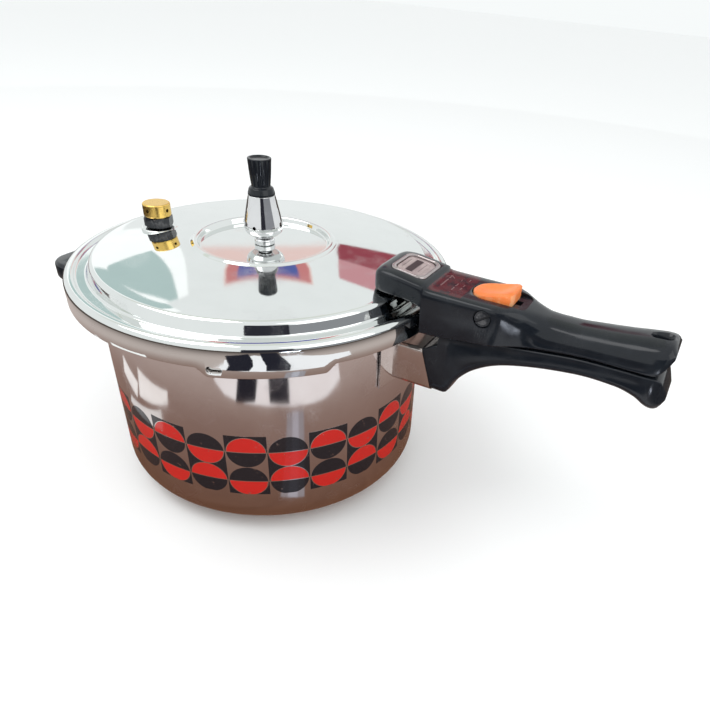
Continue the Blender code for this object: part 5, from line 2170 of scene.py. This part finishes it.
def fan(azimuths: Flat, heights: Flat) -> tuple[Flat, ...]:
    """Corners of a patch between two azimuths and two heights, in degrees."""
    (a, b), (c, d) = azimuths, heights
    return ((a, c), (b, c), (b, d), (a, d))


SKY = (
    SkyCard("ceiling", fan((95, 175), (34.3, 80)), (0.8, 0.84, 0.78), 21),
    SkyCard("window_light", fan((140.0, 152), (12, 33.6)), (1.2, 1.23, 1.23), 20.5),
    SkyCard(
        "window_pane",
        (
            (142.5, 20.2), (144.6, 20.8), (147, 21.8), (148.2, 25),
            (147.4, 26.5), (145.6, 29.9), (142.4, 33.6),
            (141.3, 33.6), (141.6, 28.8),
        ),
        (0.52, 0.66, 0.65),
    ),
    SkyCard("curtain", fan((100, 117.4), (20.4, 26.5)), (0.34, 0.075, 0.1)),
    SkyCard("curtain_hem", fan((100, 117.4), (26.5, 31.4)), (0.66, 0.33, 0.36)),
    SkyCard("quilt", fan((121.2, 135.2), (20.4, 34.1)), (0.92, 0.68, 0.64), 20.5),
    SkyCard("quilt_edge", fan((121.5, 134.9), (26, 33.9)), (0.66, 0.25, 0.25), 20.3),
    SkyCard("quilt_middle", fan((123.2, 133.2), (27, 33.5)), (0.1, 0.14, 0.42)),
)

GROUND = (
    FloorCard(
        "paper",
        (
            (0.024, -0.284), (0.049, -0.258), (0.083, -0.239),
            (0.123, -0.217), (0.16, -0.188), (0.192, -0.153),
            (0.212, -0.124), (0.232, -0.094), (0.264, -0.061),
            (0.33, -0.08), (0.3, -0.24), (0.2, -0.35), (0.06, -0.33),
        ),
        (1.05, 1.05, 1.08),
    ),
    FloorCard(
        "shoe_left",
        ((0.072, -0.239), (0.116, -0.223), (0.142, -0.252),
         (0.173, -0.311), (0.19, -0.37), (0.11, -0.37), (0.09, -0.273)),
        (0.02, 0.02, 0.03),
        0.004,
    ),
    FloorCard(
        "shoe_right",
        ((0.144, -0.204), (0.178, -0.171), (0.208, -0.196), (0.246, -0.254),
         (0.28, -0.33), (0.23, -0.36), (0.167, -0.235)),
        (0.02, 0.02, 0.03),
        0.004,
    ),
    FloorCard(
        "lamp",
        ((0.3, -0.33), (0.345, -0.27), (0.375, -0.29), (0.33, -0.35)),
        (13.0, 14.0, 16.0), 0.004,
    ),
    FloorCard(
        "streak",
        ((0.082, -0.106), (0.098, -0.087), (0.19, -0.14), (0.164, -0.168)),
        (0.36, 0.34, 0.37), 0.003,
    ),
    FloorCard(
        "streak_core",
        ((0.087, -0.1), (0.093, -0.092), (0.182, -0.149), (0.173, -0.159)),
        (0.5, 0.5, 0.57), 0.0035,
    ),
    FloorCard(
        "glint_a",
        ((-0.23, -0.115), (-0.2, -0.1), (-0.15, -0.13), (-0.17, -0.15)),
        (1.1, 1.1, 1.1), 0.003,
    ),
    FloorCard(
        "glint_b",
        ((-0.19, -0.17), (-0.15, -0.14), (-0.09, -0.2), (-0.1, -0.22)),
        (1.1, 1.1, 1.1), 0.003,
    ),
    FloorCard(
        "glint_c",
        ((-0.16, -0.105), (-0.15, -0.1), (-0.08, -0.16), (-0.1, -0.18)),
        (0.9, 0.9, 0.9), 0.003,
    ),
)


@dataclass
class Studio:
    """Camera, floor, soft lights and plain room cards that the steel mirrors."""

    eye: Point = (0.25293, -0.31885, 0.30578)
    right: Point = (0.88970, 0.45142, 0.06822)
    up: Point = (-0.31874, 0.50718, 0.80073)
    lens: float = 32.05
    shift: Flat = (-0.0732, 0.1099)
    floor_half: float = 6.0

    def build(self) -> None:
        """Makes the whole studio."""
        self.camera()
        self.floor()
        self.lights()
        self.table()
        for card in (*SKY, *GROUND):
            self.card(card.name, card.points(), self.glow(card.name, card.colour))
        person = [(0.22, -0.5, 0.0), (0.46, -0.4, 0.0), (0.46, -0.4, 0.36), (0.22, -0.5, 0.36)]
        self.card("person", person, self.glow("person", (0.03, 0.03, 0.04)))
        side = [(0.62, -0.55, 0.0), (1.0, 0.25, 0.0), (1.0, 0.25, 0.34), (0.62, -0.55, 0.34)]
        self.card("dim_side", side, self.glow("dim_side", (0.3, 0.31, 0.33)))
        bpy.context.scene.view_settings.view_transform = "Standard"

    def camera(self) -> None:
        """Sets the camera at its place with its small shift."""
        data = bpy.data.cameras.new("camera")
        data.lens = self.lens
        data.sensor_width = 36
        data.shift_x, data.shift_y = self.shift
        data.clip_start = 0.01
        camera = bpy.data.objects.new("camera", data)
        right = Vector(self.right).normalized()
        up = Vector(self.up).normalized()
        back = right.cross(up)
        camera.matrix_world = Matrix(
            (
                (right.x, up.x, back.x, self.eye[0]),
                (right.y, up.y, back.y, self.eye[1]),
                (right.z, up.z, back.z, self.eye[2]),
                (0, 0, 0, 1),
            )
        )
        bpy.context.scene.collection.objects.link(camera)
        bpy.context.scene.camera = camera

    def glow(self, name: str, colour: Colour) -> bpy.types.Material:
        """A plain glowing material.

        Args:
            name: Name of the material.
            colour: Its light.

        Returns:
            The material.
        """
        material = bpy.data.materials.new(name)
        material.use_nodes = True
        nodes = material.node_tree.nodes
        nodes.clear()
        light = nodes.new("ShaderNodeEmission")
        light.inputs["Color"].default_value = (*colour, 1)
        out = nodes.new("ShaderNodeOutputMaterial")
        material.node_tree.links.new(light.outputs["Emission"], out.inputs["Surface"])
        return material

    def card(self, name: str, points: Sequence[Point], material: bpy.types.Material) -> bpy.types.Object:
        """A flat card that only reflections see.

        Args:
            name: Name of the card.
            points: Its corners, in order.
            material: Its glow.

        Returns:
            The card.
        """
        mesh = bpy.data.meshes.new(name)
        mesh.from_pydata(points, [], [tuple(range(len(points)))])
        mesh.materials.append(material)
        obj = bpy.data.objects.new(name, mesh)
        bpy.context.scene.collection.objects.link(obj)
        for flag in ("visible_camera", "visible_diffuse", "visible_shadow", "visible_transmission"):
            setattr(obj, flag, False)
        return obj

    def table(self) -> None:
        """A warm table top that only reflections see, darker near the pot."""
        bm = bmesh.new()
        inner = [bm.verts.new((x, y, 0.001)) for x, y in circle(0, 0, 0.083, 96)]
        outer = [bm.verts.new((x, y, 0.001)) for x, y in circle(0, 0, 1.6, 96)]
        for i in range(96):
            j = (i + 1) % 96
            bm.faces.new((inner[i], outer[i], outer[j], inner[j]))
        mesh = bpy.data.meshes.new("table")
        bm.to_mesh(mesh)
        bm.free()
        graph = Graph("table_wood")
        x, y, _ = graph.place()
        reach = graph.math("SQRT", x * x + y * y)
        grain = graph.noise(0.09, 4, (1, 5, 1), (0, 0, 35))
        near = graph.mix(grain, (0.13, 0.06, 0.035), (0.22, 0.115, 0.075))
        middle = graph.mix(reach.fade(95, 220), near, (0.3, 0.205, 0.175))
        around = graph.mix(reach.fade(200, 330), middle, (0.56, 0.48, 0.45))
        far = graph.mix(reach.fade(350, 460), around, (0.1, 0.08, 0.07))
        graph.tree.nodes.remove(graph.shader)
        light = graph.node("ShaderNodeEmission")
        graph.join(far, light.inputs["Color"])
        graph.join(light.outputs["Emission"], graph.tree.nodes["Material Output"].inputs["Surface"])
        mesh.materials.append(graph.material)
        obj = bpy.data.objects.new("table", mesh)
        bpy.context.scene.collection.objects.link(obj)
        for flag in ("visible_camera", "visible_diffuse", "visible_shadow", "visible_transmission"):
            setattr(obj, flag, False)

    def floor(self) -> None:
        """A large pale floor."""
        mesh = bpy.data.meshes.new("floor")
        size = self.floor_half
        corners = [(-size, -size, 0), (size, -size, 0), (size, size, 0), (-size, size, 0)]
        mesh.from_pydata(corners, [], [(0, 1, 2, 3)])
        obj = bpy.data.objects.new("floor", mesh)
        bpy.context.scene.collection.objects.link(obj)
        graph = Graph("floor_paint")
        graph.fix(Roughness=0.9)
        graph.colour(graph.mix(graph.noise(0.8, 2), (0.95, 0.95, 0.95), (0.96, 0.96, 0.96)))
        mesh.materials.append(graph.material)
        obj.location.z = -0.0005

    def lights(self) -> None:
        """A pale world, a soft key and a soft fill."""
        world = bpy.data.worlds.new("room")
        bpy.context.scene.world = world
        world.use_nodes = True
        tree = world.node_tree
        room = tree.nodes["Background"]
        room.inputs["Color"].default_value = (0.95, 0.98, 0.98, 1)
        room.inputs["Strength"].default_value = 0.98
        for name, place, size, power in (
            ("key", (-0.6, -0.5, 1.5), 1.0, 9.0),
            ("fill", (1.2, -0.3, 1.0), 1.2, 4.0),
        ):
            data = bpy.data.lights.new(name, "AREA")
            data.size = size
            data.energy = power
            lamp = bpy.data.objects.new(name, data)
            lamp.location = place
            lamp.rotation_mode = "QUATERNION"
            lamp.rotation_quaternion = (Vector(place) - Vector((0, 0, 0.1))).to_track_quat("Z", "Y")
            bpy.context.scene.collection.objects.link(lamp)


RIM = Rim()
PANEL_PRINT = PrintedMoulding(
    "lid_grip_print",
    Slot.BAKELITE,
    (0.008, 0.01, 0.014),
    (0.012, 0.015, 0.02),
    0.11,
    0.1,
    grain=0.015,
    floor=(RIM.z + 18.9 * MM) / MM,
)


def main() -> None:
    """Builds every sub-assembly in order."""
    logging.basicConfig(level=logging.INFO, format="%(message)s")
    Studio().build()
    Pot(RIM).build()
    HelperHandle(RIM).build()
    PotHandle(RIM).build()
    LidShell(RIM).build()
    SealingRing().build()
    Regulator(RIM).build()
    SafetyValve().build()
    LidHandle(RIM).build()


if __name__ == "__main__":
    main()
